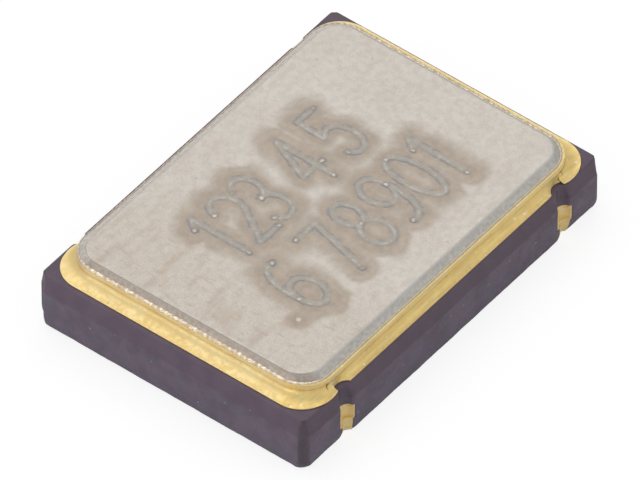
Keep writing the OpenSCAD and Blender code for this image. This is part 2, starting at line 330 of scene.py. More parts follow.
def room_loop(length, width, radii, centre_x=0.0):
    """A rectangle with its own corner radii, sampled as the body's outline is."""
    corners = []
    for k, ((sx, sy), r) in enumerate(zip(CORNER_SIGNS, radii)):
        turn = math.radians(180 + 90 * k) + spread(0, math.pi / 2, CORNER_STEPS)
        cx, cy = sx * (length / 2 - r), sy * (width / 2 - r)
        last = math.radians(270 + 90 * k)
        end = np.array([cx + r * math.cos(last), cy + r * math.sin(last)])
        corners.append((np.column_stack([cx + r * np.cos(turn), cy + r * np.sin(turn)]), end))
    loop = []
    steps = (2 * STUB_STEPS + MIDDLE_STEPS + 2 * CAST_STEPS, PLAIN_STEPS)
    for k, (corner, start) in enumerate(corners):
        finish = corners[(k + 1) % 4][0][0]
        share = spread(0, 1, steps[k % 2])[:, None]
        loop.append(np.vstack([corner, start + (finish - start) * share]))
    loop = np.vstack(loop)
    loop[:, 0] += centre_x
    return loop


# ---------------------------------------------------------------- ceramic body
TOP_EDGE_R = 0.022
FOOT_EDGE_R = 0.030
EDGE_STEPS = 5
ROW_STEP = 0.026

# How deep the snapped flanks are worn, and the waves that break them up
BREAK_DEPTH = 0.014
LOW_FLANK_DEPTH = 0.010
TOP_FLANK_DEPTH = 0.003
BREAK_MIDDLE = 0.5
BREAK_GAIN = 0.9
BREAK_WAVES = ((0.55, 3.5, 11), (0.3, 9, 37), (0.25, 21, 71))


def flank_insets(z):
    """How far the snap grooves draw the four sides in at one height."""
    low_end = BASE_Z + LOW_GROOVE_H
    top_end = TOP_Z - TOP_GROOVE_H
    if z < low_end:
        return [LOW_GROOVE_D * ((low_end - z) / LOW_GROOVE_H) ** LOW_GROOVE_CURVE] * 4
    if z > top_end:
        return [depth * (z - top_end) / TOP_GROOVE_H for depth in TOP_GROOVE_D]
    return [0.0] * 4


def castellation_at(z, above):
    """Radius and sideways shift of the castellations just below or just above one height."""
    if z < WELL_Z or (z == WELL_Z and not above):
        depth = (WELL_Z - z) / (WELL_Z - BASE_Z)
        return CAST_FOOT_R + CAST_FOOT_FLARE * depth**4, CAST_FOOT_SHIFT
    if z < COAT_TOP_Z or (z == COAT_TOP_Z and not above):
        return CAST_R, CAST_SHIFT
    return CAST_UPPER_R, CAST_UPPER_SHIFT


def body_rows():
    """Height, extra inset, castellation radius and shift of each row, from the foot up."""
    rows = []
    for step in range(EDGE_STEPS + 1):
        turn = math.pi / 2 * step / EDGE_STEPS
        z = BASE_Z + FOOT_EDGE_R * (1 - math.cos(turn))
        rows.append((z, FOOT_EDGE_R * (1 - math.sin(turn)), *castellation_at(z, True)))
    stops = (BASE_Z + FOOT_EDGE_R, WELL_Z, COAT_TOP_Z, TOP_Z - TOP_EDGE_R)
    for low, high in zip(stops[:-1], stops[1:]):
        if low > stops[0]:
            rows.append((low, 0.0, *castellation_at(low, True)))
        count = max(round((high - low) / ROW_STEP), 1)
        for z in np.linspace(low, high, count + 1)[1:]:
            rows.append((z, 0.0, *castellation_at(z, False)))
    for step in range(1, EDGE_STEPS + 1):
        turn = math.pi / 2 * step / EDGE_STEPS
        z = TOP_Z - TOP_EDGE_R * (1 - math.sin(turn))
        rows.append((z, TOP_EDGE_R * (1 - math.cos(turn)), *castellation_at(z, True)))
    return rows


def break_depth(z):
    """How deep the broken surface is worn at one height."""
    if z > TOP_Z - TOP_GROOVE_H:
        return TOP_FLANK_DEPTH
    if z > BASE_Z + LOW_GROOVE_H:
        return BREAK_DEPTH
    return LOW_FLANK_DEPTH


def broken(loop, hollow_shade, z):
    """The outline with its open flanks roughened inwards, as snapped ceramic is."""
    depth = break_depth(z)
    out = loop.copy()
    for k, (x, y) in enumerate(loop):
        if hollow_shade[k] > 0:
            continue
        ragged = BREAK_MIDDLE + BREAK_GAIN * waves((x, y, z), BREAK_WAVES)
        inward = depth * min(max(ragged, 0), 1)
        if abs(x) / BODY_L > abs(y) / BODY_W:
            out[k, 0] -= math.copysign(inward, x)
        else:
            out[k, 1] -= math.copysign(inward, y)
    return out


def make_ceramic_body():
    """The notched, castellated body with its snap-groove flanks and stepped cavity."""
    round_corners = [CAVITY_R] * 4
    room_l = CAVITY_L / 2 - SHELF_X
    room_corners = [SHELF_CORNER_R, CAVITY_R, CAVITY_R, SHELF_CORNER_R]
    cavity = room_loop(CAVITY_L, CAVITY_W, round_corners)
    room = room_loop(room_l, CAVITY_W, room_corners, SHELF_X + room_l / 2)
    well = room_loop(WELL_SIZE[0], WELL_SIZE[1], round_corners, WELL_X)
    loops = [at_height(cavity, BASE_Z)]
    hollow_shades = []
    for z, extra, radius, shift in body_rows():
        insets = [inset + extra for inset in flank_insets(z)]
        rounding = notch_rounding(z)
        notch = NOTCH_R + (NOTCH_FOOT_R - NOTCH_R) * rounding + extra
        loop, hollow_shade = body_outline(insets, radius + extra, shift, notch, foot_wear(z), rounding)
        loops.append(at_height(broken(loop, hollow_shade, z), z))
        hollow_shades.append(hollow_shade * (z < TOP_Z))
    steps = ((cavity, TOP_Z, SHELF_Z), (room, SHELF_Z, LEDGE_Z), (well, LEDGE_Z, WELL_Z))
    for plan, high, low in steps:
        loops += [at_height(plan, high), at_height(plan, low)]
    count = len(cavity)
    faces = loft(len(loops), count)
    well_centre = len(loops) * count
    foot_centre = well_centre + 1
    points = np.vstack([*loops, [[WELL_X, 0, WELL_Z], [0, 0, BASE_Z]]])
    top_row = well_centre - count
    for k in range(count):
        n = (k + 1) % count
        faces.append((top_row + k, top_row + n, well_centre))
        faces.append((n, k, foot_centre))
    body = add_piece("ceramic_body", points, faces, ["ceramic_base"])
    # the painted shade of the notches and castellations, kept on the mesh for the material
    shade_values = np.zeros(len(points))
    shade_values[count : count * (len(hollow_shades) + 1)] = np.concatenate(hollow_shades)
    store(body, "hollow_shade", shade_values)
    return body


# ---------------------------------------------------------------- seal metal
SEAL_ARC_STEPS = 28
SEAL_SIDE_STEP = 0.05
RELIEF_STEPS = 24
SOFT_EDGE = 0.006
PAD_MIDDLE = 0.16
FILLET_STEPS = 14
FILLET_SLOPE = 1.4
FILLET_FOOT = 0.012
FILLET_CREASE = 60
FILLET_WAVES = ((0.010, 2.2, 5), (0.004, 7, 15))
RING_ROWS = 12
RING_EDGE = 0.012
RING_WAVE = 0.003
RING_WAVE_CELLS = 1.6
RING_WAVE_SEED = 3
RING_CREASE = 50


def seal_columns(length, width, radius, shift, relief_half=0.0):
    """Base points, outward directions and free room round a rounded rectangle. The room is what
    the castellations' clearance leaves in front of a point; it is large away from them."""
    base, outward, room = [], [], []
    for k in range(4):
        half, across = (length / 2, width / 2) if k % 2 == 0 else (width / 2, length / 2)
        points, normals, free = [], [], []
        for turn in math.pi + spread(0, math.pi / 2, SEAL_ARC_STEPS):
            cosine, sine = math.cos(turn), math.sin(turn)
            points.append((-half + radius + radius * cosine, -across + radius + radius * sine))
            normals.append((cosine, sine))
            free.append(FAR_AWAY)
        side_y = abs(-across + shift[1]) if k == 0 else abs(across + shift[1])
        side_x = shift[0] if k == 0 else -shift[0]
        stops = [-half + radius]
        if k % 2 == 0 and relief_half:
            for middle in (-CAST_X, CAST_X):
                stops += [middle - side_x - relief_half, middle - side_x + relief_half]
        stops.append(half - radius)
        for part, (s0, s1) in enumerate(zip(stops[:-1], stops[1:])):
            if part % 2 == 0:
                spans = spread(s0, s1, max(round((s1 - s0) / SEAL_SIDE_STEP), 1))
            else:
                spans = (s0 + s1) / 2 - (s1 - s0) / 2 * np.cos(spread(0, math.pi, RELIEF_STEPS))
            for s in spans:
                points.append((s, -across))
                normals.append((0, -1))
                off = abs(s - (s0 + s1) / 2)
                reach = math.sqrt(max(RELIEF_R**2 - off**2, 0))
                free.append(BODY_W / 2 - reach - side_y if part % 2 else FAR_AWAY)
        base.append(turned(points, k))
        outward.append(turned(normals, k))
        room += free
    return np.vstack(base) + shift, np.vstack(outward), np.array(room)


def relief_half_at(side_y):
    """Half the width of the castellations' clearance where a straight side crosses it."""
    return math.sqrt(max(RELIEF_R**2 - (BODY_W / 2 - side_y) ** 2, 0))


def make_seal_pad():
    """The plated pad on the body's top, cut back at the four castellations."""
    length, width = PAD_HIGH[0] - PAD_LOW[0], PAD_HIGH[1] - PAD_LOW[1]
    relief_half = relief_half_at(width / 2)
    base, outward, room = seal_columns(length, width, SEAL_R, SEAL_SHIFT, relief_half)
    cut = np.maximum(-room, 0)
    inner_l, inner_w = CAVITY_L + 2 * PAD_LIP, CAVITY_W + 2 * PAD_LIP
    profile = [(0, TOP_Z), (0, PAD_TOP_Z - SOFT_EDGE), *rounded_edge(SOFT_EDGE, PAD_TOP_Z)]
    rows = [at_height(base - outward * (cut + inset)[:, None], z) for inset, z in profile]
    middle = base - outward * PAD_MIDDLE
    inner = (base - SEAL_SHIFT) * [inner_l / length, inner_w / width]
    rows += [at_height(middle, PAD_TOP_Z), at_height(inner, PAD_TOP_Z), at_height(inner, TOP_Z)]
    faces = loft(len(rows), len(base), close_rows=True)
    return add_piece("seal_pad_plating", np.vstack(rows), faces, ["seal_pad"])


def eased(limit, loop):
    """A limit round a closed loop that rises no faster than the braze's edge can turn."""
    gaps = np.hypot(*(loop - np.roll(loop, 1, axis=0)).T)
    eased_limit = limit.copy()
    count = len(limit)
    for _ in range(2):
        for k in range(count):
            reach = eased_limit[k - 1] + FILLET_SLOPE * gaps[k]
            eased_limit[k] = min(eased_limit[k], reach)
        for k in range(count - 1, -1, -1):
            n = (k + 1) % count
            reach = eased_limit[n] + FILLET_SLOPE * gaps[n]
            eased_limit[k] = min(eased_limit[k], reach)
    return eased_limit


def ring_plan():
    """Length, width and middle of the seal ring, a little narrow on its +Y side."""
    length, width = RING_HIGH[0] - RING_LOW[0], RING_HIGH[1] - RING_LOW[1]
    return length, width - RING_TRIM, SEAL_SHIFT - [0, RING_TRIM / 2]


def make_braze_fillet():
    """The concave meniscus of braze from the ring's wall out to the pad's edge."""
    length, width, middle = ring_plan()
    base, outward, room = seal_columns(length, width, SEAL_R, middle, RELIEF_R)
    end_reach = (PAD_HIGH[0] - RING_HIGH[0]) - FILLET_LIP
    side_reach = (PAD_HIGH[1] - RING_HIGH[1]) - FILLET_LIP
    wanted = end_reach * np.abs(outward[:, 0]) + side_reach * np.abs(outward[:, 1])
    limit = eased(np.minimum(wanted, np.maximum(room, FILLET_LIP)), base)
    profile = [(1.0, 0.0)]
    for step in range(FILLET_STEPS + 1):
        turn = math.pi / 2 * step / FILLET_STEPS
        up = FILLET_FOOT + (1 - FILLET_FOOT) * (1 - math.cos(turn))
        profile.append((1 - math.sin(turn), up))
    profile.append((0.0, 0.0))
    rows = []
    for out, up in profile:
        loop = base + outward * (out * limit)[:, None]
        height = np.full(len(loop), FILLET_RISE * up)
        for k, (x, y) in enumerate(loop):
            sag = waves((x, y, 0), FILLET_WAVES)
            height[k] += sag * math.sin(math.pi * min(up, 1)) + sag * up
        rows.append(np.column_stack([loop, PAD_TOP_Z + height]))
    points = np.vstack(rows)
    faces = loft(len(rows), len(base), close_rows=True)
    return add_piece("braze_meniscus", points, faces, ["braze_fillet"], FILLET_CREASE)


def make_seal_ring():
    """The plated frame that the lid is welded to."""
    length, width, middle = ring_plan()
    base, outward, _ = seal_columns(length, width, SEAL_R, middle)
    foot, head = PAD_TOP_Z, LID_Z
    profile = [(0.0, z) for z in np.linspace(foot, head - RING_EDGE, RING_ROWS)]
    profile += rounded_edge(RING_EDGE, head)
    profile += [(RING_WALL - RING_EDGE, head), (RING_WALL, head - RING_EDGE), (RING_WALL, foot)]
    rows = []
    for inset, z in profile:
        insets = np.full(len(base), inset)
        if inset < RING_EDGE:
            rise = (z - foot) / (head - foot)
            for k, (x, y) in enumerate(base):
                wave = RING_WAVE * (1 + wobble((x, y, z), RING_WAVE_CELLS, RING_WAVE_SEED))
                insets[k] += wave * math.sin(math.pi * min(rise, 1)) ** 2
        rows.append(at_height(base - outward * insets[:, None], z))
    points = np.vstack(rows)
    faces = loft(len(rows), len(base), close_rows=True)
    return add_piece("weld_ring", points, faces, ["seal_ring"], RING_CREASE)


# ---------------------------------------------------------------- terminals
# Inset and height of each row of a land's edge, from its face up
LAND_PROFILE = ((0.005, 0.0), (0.0015, 0.0015), (0.0, 0.005), (0.0, METAL_T))
LAND_CORNER_STEPS = 8

# The plating on a castellation's wall, and the waves of its open face round and up
COAT_STEPS = 22
COAT_ROWS = 8
COAT_SETBACK = 0.018
COAT_WAVE = 0.0025
COAT_WAVES_ROUND = 3
COAT_WAVES_UP = 9


def land_outline(shrink):
    """A land's outline in its castellation's frame, +y inwards, bitten by the round plating."""
    half = LAND_L / 2 - shrink
    near = LOW_GROOVE_D + LAND_GAP + shrink
    far = LOW_GROOVE_D + LAND_GAP + LAND_W - shrink
    r = LAND_R
    bite = CAST_FOOT_R + CAST_FOOT_FLARE - METAL_T / 2 + shrink
    begin = math.asin(near / bite)
    points = []
    for step in range(COAT_STEPS + 1):
        turn = math.pi - begin - (math.pi - 2 * begin) * step / COAT_STEPS
        points.append((CAST_FOOT_SHIFT + bite * math.cos(turn), bite * math.sin(turn)))
    centres = (
        (half - r, near + r, -90),
        (half - r, far - r, 0),
        (-half + r, far - r, 90),
        (-half + r, near + r, 180),
    )
    for cx, cy, first in centres:
        for step in range(LAND_CORNER_STEPS + 1):
            turn = math.radians(first + 90 * step / LAND_CORNER_STEPS)
            points.append((cx + r * math.cos(turn), cy + r * math.sin(turn)))
    return np.array(points)


def plating_rows():
    """Inner height, outer height, castellation radius and shift of the plating's rows, from
    the foot up. At the well's level the plating lies on the step of the ceramic."""
    step_z = WELL_Z + METAL_T
    low_rows = np.linspace(BASE_Z, WELL_Z, COAT_ROWS)[:-1]
    rows = [(z, z, *castellation_at(z, False)) for z in low_rows]
    rows += [(step_z, WELL_Z, *castellation_at(WELL_Z, above)) for above in (False, True)]
    high_rows = np.linspace(step_z, COAT_TOP_Z, COAT_ROWS)[1:]
    return rows + [(z, z, *castellation_at(z, False)) for z in high_rows]


def plating_loop(inner_z, outer_z, outer, shift, stub_ahead):
    """One row of the plating: round its inner face, and back along the castellation's wall."""
    loop = []
    for radius, z, back in ((outer - METAL_T, inner_z, False), (outer, outer_z, True)):
        inset = flank_insets(z)[0] + COAT_SETBACK
        plain = math.asin(inset / radius)
        deep = math.asin(min((inset + foot_wear(z)) / radius, 1))
        begin, end = (deep, math.pi - plain) if stub_ahead else (plain, math.pi - deep)
        turns = begin + (end - begin) * np.arange(COAT_STEPS + 1) / COAT_STEPS
        for turn in turns[::-1] if back else turns:
            wave = COAT_WAVE * math.sin(COAT_WAVES_ROUND * turn + COAT_WAVES_UP * z)
            reach = radius if back else radius + wave
            loop.append((shift + reach * math.cos(turn), radius * math.sin(turn), z))
    return np.array(loop)


def terminal_frame(points, index):
    """Points from a castellation's frame to the row frame, for terminal 1 to 4."""
    side_x = -1 if index in (1, 4) else 1
    side_y = -1 if index < 3 else 1
    points = np.asarray(points, float).copy()
    points[:, 0] += side_x * CAST_X
    points[:, 1] = -BODY_W / 2 + points[:, 1]
    if side_y > 0:
        points[:, 1] *= -1
    return points


def make_terminal(index):
    """A solder land with its half-round plating up the castellation."""
    land = [at_height(land_outline(shrink), z) for shrink, z in LAND_PROFILE]
    count = len(land[0])
    first = len(land) * count
    faces = loft(len(land), count)
    faces.append(tuple(range(count - 1, -1, -1)))
    faces.append(tuple(range(first - count, first)))
    shell = [plating_loop(*row, index in (2, 3)) for row in plating_rows()]
    shell_count = len(shell[0])
    for face in loft(len(shell), shell_count):
        faces.append(tuple(first + k for k in reversed(face)))
    lift = (len(shell) - 1) * shell_count
    for k in range(shell_count // 2 - 1):
        far = shell_count - 1 - k
        low = (first + k, first + k + 1, first + far - 1, first + far)
        faces.append(low)
        faces.append(tuple(i + lift for i in reversed(low)))
    placed = terminal_frame(np.vstack(land + shell), index)
    if index > 2:
        faces = [tuple(reversed(face)) for face in faces]
    name = f"plated_terminal_{index}"
    return add_piece(name, placed, faces, [f"solder_terminal_{index}"])


# ---------------------------------------------------------------- marking
def arc(cx, cy, rx, ry, first, last, steps=14):
    """Points of an elliptical arc in a digit's unit cell."""
    turns = np.radians(np.linspace(first, last, steps))
    return [(cx + rx * math.cos(t), cy + ry * math.sin(t)) for t in turns]


DIGIT_STROKES = {
    "0": [arc(0.5, 0.5, 0.5, 0.5, 90, 450, 28)],
    "1": [[(0.18, 0.82), (0.5, 1.0), (0.5, 0.0)]],
    "2": [arc(0.5, 0.72, 0.5, 0.28, 165, -35) + [(0.0, 0.0), (1.0, 0.0)]],
    "3": [arc(0.5, 0.75, 0.45, 0.25, 150, -90), arc(0.5, 0.26, 0.5, 0.26, 90, -150)],
    "4": [[(0.74, 0.0), (0.74, 1.0), (0.0, 0.30), (1.0, 0.30)]],
    "5": [[(0.95, 1.0), (0.12, 1.0), (0.08, 0.54)] + arc(0.48, 0.31, 0.5, 0.31, 130, -145)],
    "6": [arc(0.62, 0.5, 0.62, 0.5, 75, 180) + arc(0.5, 0.29, 0.5, 0.29, 180, 540, 22)],
    "7": [[(0.0, 1.0), (1.0, 1.0), (0.36, 0.0)]],
    "8": [arc(0.5, 0.76, 0.42, 0.24, -90, 270, 20), arc(0.5, 0.26, 0.5, 0.26, 90, 450, 22)],
    "9": [arc(0.5, 0.71, 0.5, 0.29, 0, 360, 22) + arc(0.38, 0.5, 0.62, 0.5, 0, -105)],
}

# Each digit of the two rows with its left edge, and the rows' lower and upper edges
DIGIT_W = 0.43
UPPER_ROW = (("1", -1.72), ("2", -1.24), ("3", -0.76), ("4", 0.16), ("5", 0.93))
LOWER_ROW = (("6", -1.80), ("7", -0.90), ("8", -0.25), ("9", 0.37), ("0", 0.97), ("1", 1.50))
UPPER_SPAN = (0.11, 1.19)
LOWER_SPAN = (-1.36, -0.27)
PIN_DOT = (-2.12, -1.28)


def marking_strokes():
    """Every stroke of the two rows of plain digits, in millimetres on the lid."""
    strokes = []
    for row, (low, high) in ((UPPER_ROW, UPPER_SPAN), (LOWER_ROW, LOWER_SPAN)):
        for digit, left in row:
            for stroke in DIGIT_STROKES[digit]:
                strokes.append([(left + DIGIT_W * u, low + (high - low) * v) for u, v in stroke])
    return strokes


def distance_to_stroke(points, stroke):
    """Shortest distance from each plan point to a chain of straight pieces."""
    best = np.full(len(points), FAR_AWAY)
    for (ax, ay), (bx, by) in zip(stroke[:-1], stroke[1:]):
        run = np.array([bx - ax, by - ay])
        size = float(run @ run) or 1.0
        share = np.clip(((points - [ax, ay]) @ run) / size, 0, 1)
        near = points - [ax, ay] - share[:, None] * run
        best = np.minimum(best, np.hypot(near[:, 0], near[:, 1]))
    return best


def distance_to_point(points, spot):
    """Distance from each plan point to one spot."""
    return np.hypot(points[:, 0] - spot[0], points[:, 1] - spot[1])


def store_marking(lid, plan):
    """The distances on the lid that its material draws the strokes, pits and dot from."""
    strokes = marking_strokes()
    dot = distance_to_point(plan, PIN_DOT)
    stroke = np.min([distance_to_stroke(plan, each) for each in strokes], axis=0)
    ends = [each[k] for each in strokes for k in (0, -1)]
    pit = np.min([dot] + [distance_to_point(plan, end) for end in ends], axis=0)
    for name, values in (("stroke_distance", stroke), ("pit_distance", pit), ("dot_distance", dot)):
        store(lid, name, np.minimum(values, 1.0))


# ---------------------------------------------------------------- lid
LID_CELL = 0.026
LID_FOOT_OUT = 0.97
LID_DENTS = ((0.003, 5.5, 9),)
LID_CREASE = 30

# Shares of the rim's width and of its drop, from the flat top out
LID_RIM_PROFILE = ((0.08, 0.02), (0.18, 0.08), (0.32, 0.20), (0.55, 0.46), (0.80, 0.75), (1.0, 1.0))


def square_to_quarter(u, v):
    """A point of the unit square carried onto the unit quarter disc."""
    reach = math.hypot(u, v)
    if reach == 0:
        return 0.0, 0.0
    share = max(u, v) / reach
    return u * share, v * share


def lid_plan(x, y, half_l, half_w, radius):
    """A point of the lid's flat top, drawn in at the four round corners."""
    over_x, over_y = abs(x) - (half_l - radius), abs(y) - (half_w - radius)
    if over_x <= 0 or over_y <= 0:
        return x, y
    u, v = square_to_quarter(over_x / radius, over_y / radius)
    return (
        math.copysign(half_l - radius + u * radius, x),
        math.copysign(half_w - radius + v * radius, y),
    )


def lid_size():
    """Length and width of the welded lid."""
    return LID_HIGH[0] - LID_LOW[0] - LID_TRIM[0], LID_HIGH[1] - LID_LOW[1] - LID_TRIM[1]


def make_lid():
    """The lid: a fine flat top that carries the marking, and its pressed round rim."""
    length, width = lid_size()
    half_l, half_w = length / 2 - LID_BAND[0], width / 2 - LID_BAND[1]
    radius = LID_R - LID_BAND.mean()
    nx, ny = round(2 * half_l / LID_CELL), round(2 * half_w / LID_CELL)
    xs, ys = np.linspace(-half_l, half_l, nx + 1), np.linspace(-half_w, half_w, ny + 1)
    top = [lid_plan(x, y, half_l, half_w, radius) for y in ys for x in xs]
    points = [(x, y, LID_TOP_Z) for x, y in top]
    wide = nx + 1
    corners = [j * wide + i for j in range(ny) for i in range(nx)]
    faces = [(a, a + 1, a + wide + 1, a + wide) for a in corners]
    border = list(range(nx))
    border += [j * wide + nx for j in range(ny)]
    border += [ny * wide + i for i in range(nx, 0, -1)]
    border += [j * wide for j in range(ny, 0, -1)]
    count = len(border)
    base = np.array([top[k] for k in border])
    core = np.clip(base, [-half_l + radius, -half_w + radius], [half_l - radius, half_w - radius])
    outward = base - core
    outward /= np.linalg.norm(outward, axis=1)[:, None]
    drop = LID_TOP_Z - LID_Z - LID_EDGE_T
    profile = [(out, LID_TOP_Z - drop * down) for out, down in LID_RIM_PROFILE]
    profile += [(1.0, LID_Z + LID_EDGE_T / 2), (LID_FOOT_OUT, LID_Z)]
    previous = border
    for out, z in profile:
        row = list(range(len(points), len(points) + count))
        for k in range(count):
            x, y = base[k] + outward[k] * LID_BAND * out
            dent = waves((x, y, z), LID_DENTS) * min(out, 1)
            points.append((x - outward[k][0] * abs(dent), y - outward[k][1] * abs(dent), z + dent))
        for k in range(count):
            n = (k + 1) % count
            faces.append((previous[n], previous[k], row[k], row[n]))
        previous = row
    floor_centre = len(points)
    points.append((0, 0, LID_Z))
    faces += [(previous[k], floor_centre, previous[(k + 1) % count]) for k in range(count)]
    points = np.array(points) + [LID_SHIFT[0], LID_SHIFT[1], 0]
    lid = add_piece("pressed_lid", points, faces, ["lid"], LID_CREASE)
    store_marking(lid, points[:, :2])
    return lid


# ---------------------------------------------------------------- weld seam
# Beads: pitch, how much their size and place vary, and how slim the waist between them is
BEAD_PITCH = 0.09
BEAD_SWELL = 0.25
BEAD_OFFSET = 0.09
BEAD_WAIST = 0.50
BEAD_CURVE = 0.6

# Section of the seam, which is slimmer at the back and even along the front
SEAM_SEED = 7
SEAM_STEP = 0.0125
SEAM_OUT = 0.004
SEAM_LIFT = 0.004
SEAM_WIDTH = 0.044
SEAM_HEIGHT = 0.030
SEAM_BACK_SLIM = 0.6
SEAM_FRONT_SIZE = 0.42
SEAM_FRONT_EVEN = 0.9
SEAM_AROUND = 9
SEAM_FIRST_TURN = -70
SEAM_SWEEP = 250
SEAM_CREASE = 80


def make_weld_seam():
    """The scalloped bead that the seam weld leaves along the lid's lower edge."""
    rng = random.Random(SEAM_SEED)
    length, width = lid_size()
    base, outward, _ = seal_columns(length, width, LID_R, LID_SHIFT)
    closed = np.vstack([base, base[:1]])
    closed_out = np.vstack([outward, outward[:1]])
    steps = np.hypot(*(closed[1:] - closed[:-1]).T)
    travelled = np.concatenate([[0], np.cumsum(steps)])
    total = travelled[-1]
    beads = round(total / BEAD_PITCH)
    swell = [1 - BEAD_SWELL + BEAD_SWELL * rng.random() for _ in range(beads)]
    offset = [BEAD_OFFSET * (rng.random() - 0.5) for _ in range(beads)]
    at = np.arange(round(total / SEAM_STEP)) * total / round(total / SEAM_STEP)
    place = np.column_stack([np.interp(at, travelled, closed[:, k]) for k in range(2)])
    out = np.column_stack([np.interp(at, travelled, closed_out[:, k]) for k in range(2)])
    out /= np.linalg.norm(out, axis=1)[:, None]
    size = np.zeros(len(at))
    for k, value in enumerate(at / total * beads):
        bead = int(value) % beads
        phase = min(max(value - int(value) + offset[bead], 0), 1)
        bulge = math.sin(math.pi * phase) ** BEAD_CURVE
        size[k] = swell[bead] * (BEAD_WAIST + (1 - BEAD_WAIST) * bulge)
    size += (SEAM_FRONT_SIZE - size) * SEAM_FRONT_EVEN * np.clip(-out[:, 1], 0, 1)
    slim = 1 - SEAM_BACK_SLIM * np.clip(out[:, 1], 0, 1)
    rows = []
    for k in range(SEAM_AROUND):
        turn = math.radians(SEAM_FIRST_TURN + SEAM_SWEEP * k / (SEAM_AROUND - 1))
        reach = SEAM_OUT + SEAM_WIDTH * slim * size * math.cos(turn)
        rise = LID_Z + SEAM_LIFT + SEAM_HEIGHT * size * math.sin(turn)
        rows.append(np.column_stack([place + out * reach[:, None], rise]))
    faces = loft(len(rows), len(at), close_rows=True)
    return add_piece("weld_seam", np.vstack(rows), faces, [], SEAM_CREASE)


ceramic_body = make_ceramic_body()
seal_pad_plating = make_seal_pad()
braze_meniscus = make_braze_fillet()
weld_ring = make_seal_ring()
terminals = [make_terminal(index) for index in range(1, 5)]
pressed_lid = make_lid()
weld_seam = make_weld_seam()

# ---------------------------------------------------------------- node help
PER_MM = 1000.0
FLOAT = "NodeSocketFloat"
VECTOR = "NodeSocketVector"


class Nodes:
    """Adds nodes to one tree and links them by socket name."""

    def __init__(self, tree):
        self.tree = tree

    def add(self, kind, inputs=None, **settings):
        """One node with its settings, and its inputs linked or set."""
        node = self.tree.nodes.new(kind)
        for key, value in settings.items():
            setattr(node, key, value)
        for key, value in (inputs or {}).items():
            self.feed(node.inputs[key], value)
        return node

    def feed(self, socket, value):
        """A link from another socket, or a plain value."""
        if isinstance(value, bpy.types.NodeSocket):
            self.tree.links.new(value, socket)
        else:
            socket.default_value = value

    def math(self, operation, a, b=0.0):
        """The result of one math node."""
        return self.add("ShaderNodeMath", {0: a, 1: b}, operation=operation).outputs[0]

    def sum(self, a, b):
        """Two values added."""
        return self.math("ADD", a, b)

    def less(self, a, b):
        """One value less another."""
        return self.math("SUBTRACT", a, b)

    def rest(self, share):
        """What a share leaves of 1."""
        return self.math("SUBTRACT", 1.0, share)

    def times(self, a, *others):
        """Values multiplied together."""
        for value in others:
            a = self.math("MULTIPLY", a, value)
        return a

    def highest(self, a, b):
        """The higher of two values."""
        return self.math("MAXIMUM", a, b)

    def away_from(self, value, middle):
        """How far a value is from a middle one."""
        return self.math("ABSOLUTE", self.less(value, middle))

    def span(self, value, low, high, to_low=0.0, to_high=1.0):
        """A value mapped smoothly from one span to another and held at its ends."""
        inputs = {0: value, 1: low, 2: high, 3: to_low, 4: to_high}
        node = self.add("ShaderNodeMapRange", inputs, interpolation_type="SMOOTHSTEP")
        return node.outputs[0]

    def blend(self, share, first, second):
        """Two colours mixed by a share."""
        node = self.add("ShaderNodeMix", {0: share, 6: first, 7: second}, data_type="RGBA")
        return node.outputs[2]

    def layers(self, colour, tints):
        """A colour under a list of tints, each a mask, its strength and its tone."""
        for mask, strength, tone in tints:
            colour = self.blend(self.times(mask, strength), colour, tone)
        return colour

    def group(self, tree, output=0, **values):
        """A shared group with its inputs set by name."""
        node = self.add("ShaderNodeGroup", node_tree=tree)
        for key, value in values.items():
            self.feed(node.inputs[key.replace("_", " ")], value)
        return node.outputs[output]

    def stored(self, name):
        """A value stored on the mesh."""
        return self.add("ShaderNodeAttribute", attribute_name=name).outputs["Fac"]


def new_group(name, inputs, outputs):
    """An empty shader group with named inputs and outputs, and its two end nodes."""
    tree = bpy.data.node_groups.new(name, "ShaderNodeTree")
    for label, kind, value in inputs:
        socket = tree.interface.new_socket(name=label, in_out="INPUT", socket_type=kind)
        socket.default_value = value
    for label, kind in outputs:
        tree.interface.new_socket(name=label, in_out="OUTPUT", socket_type=kind)
    nodes = Nodes(tree)
    start = nodes.add("NodeGroupInput").outputs
    end = nodes.add("NodeGroupOutput").inputs
    return tree, nodes, start, end


def place_mm(nodes, stretch=None):
    """The point in the row frame in millimetres, stretched when asked."""
    coords = nodes.add("ShaderNodeTexCoord").outputs["Object"]
    scaled = nodes.add("ShaderNodeVectorMath", {0: coords, "Scale": PER_MM}, operation="SCALE")
    if stretch is None:
        return scaled.outputs[0]
    inputs = {0: scaled.outputs[0], 1: stretch}
    return nodes.add("ShaderNodeVectorMath", inputs, operation="MULTIPLY").outputs[0]


def cloud_at(nodes, place, cells, detail):
    """Soft noise at a place."""
    inputs = {"Vector": place, "Scale": cells, "Detail": detail}
    return nodes.add("ShaderNodeTexNoise", inputs).outputs[0]


def make_grain_group():
    """Cloudy or streaky noise held between two levels."""
    tree, nodes, start, end = new_group(
        "surface_grain",
        [
            ("Cells", FLOAT, 8.0),
            ("Stretch", VECTOR, (1, 1, 1)),
            ("Detail", FLOAT, 3.0),
            ("Low", FLOAT, 0.35),
            ("High", FLOAT, 0.65),
        ],
        [("Amount", FLOAT)],
    )
    place = place_mm(nodes, start["Stretch"])
    cloud = cloud_at(nodes, place, start["Cells"], start["Detail"])
    nodes.feed(end["Amount"], nodes.span(cloud, start["Low"], start["High"]))
    return tree


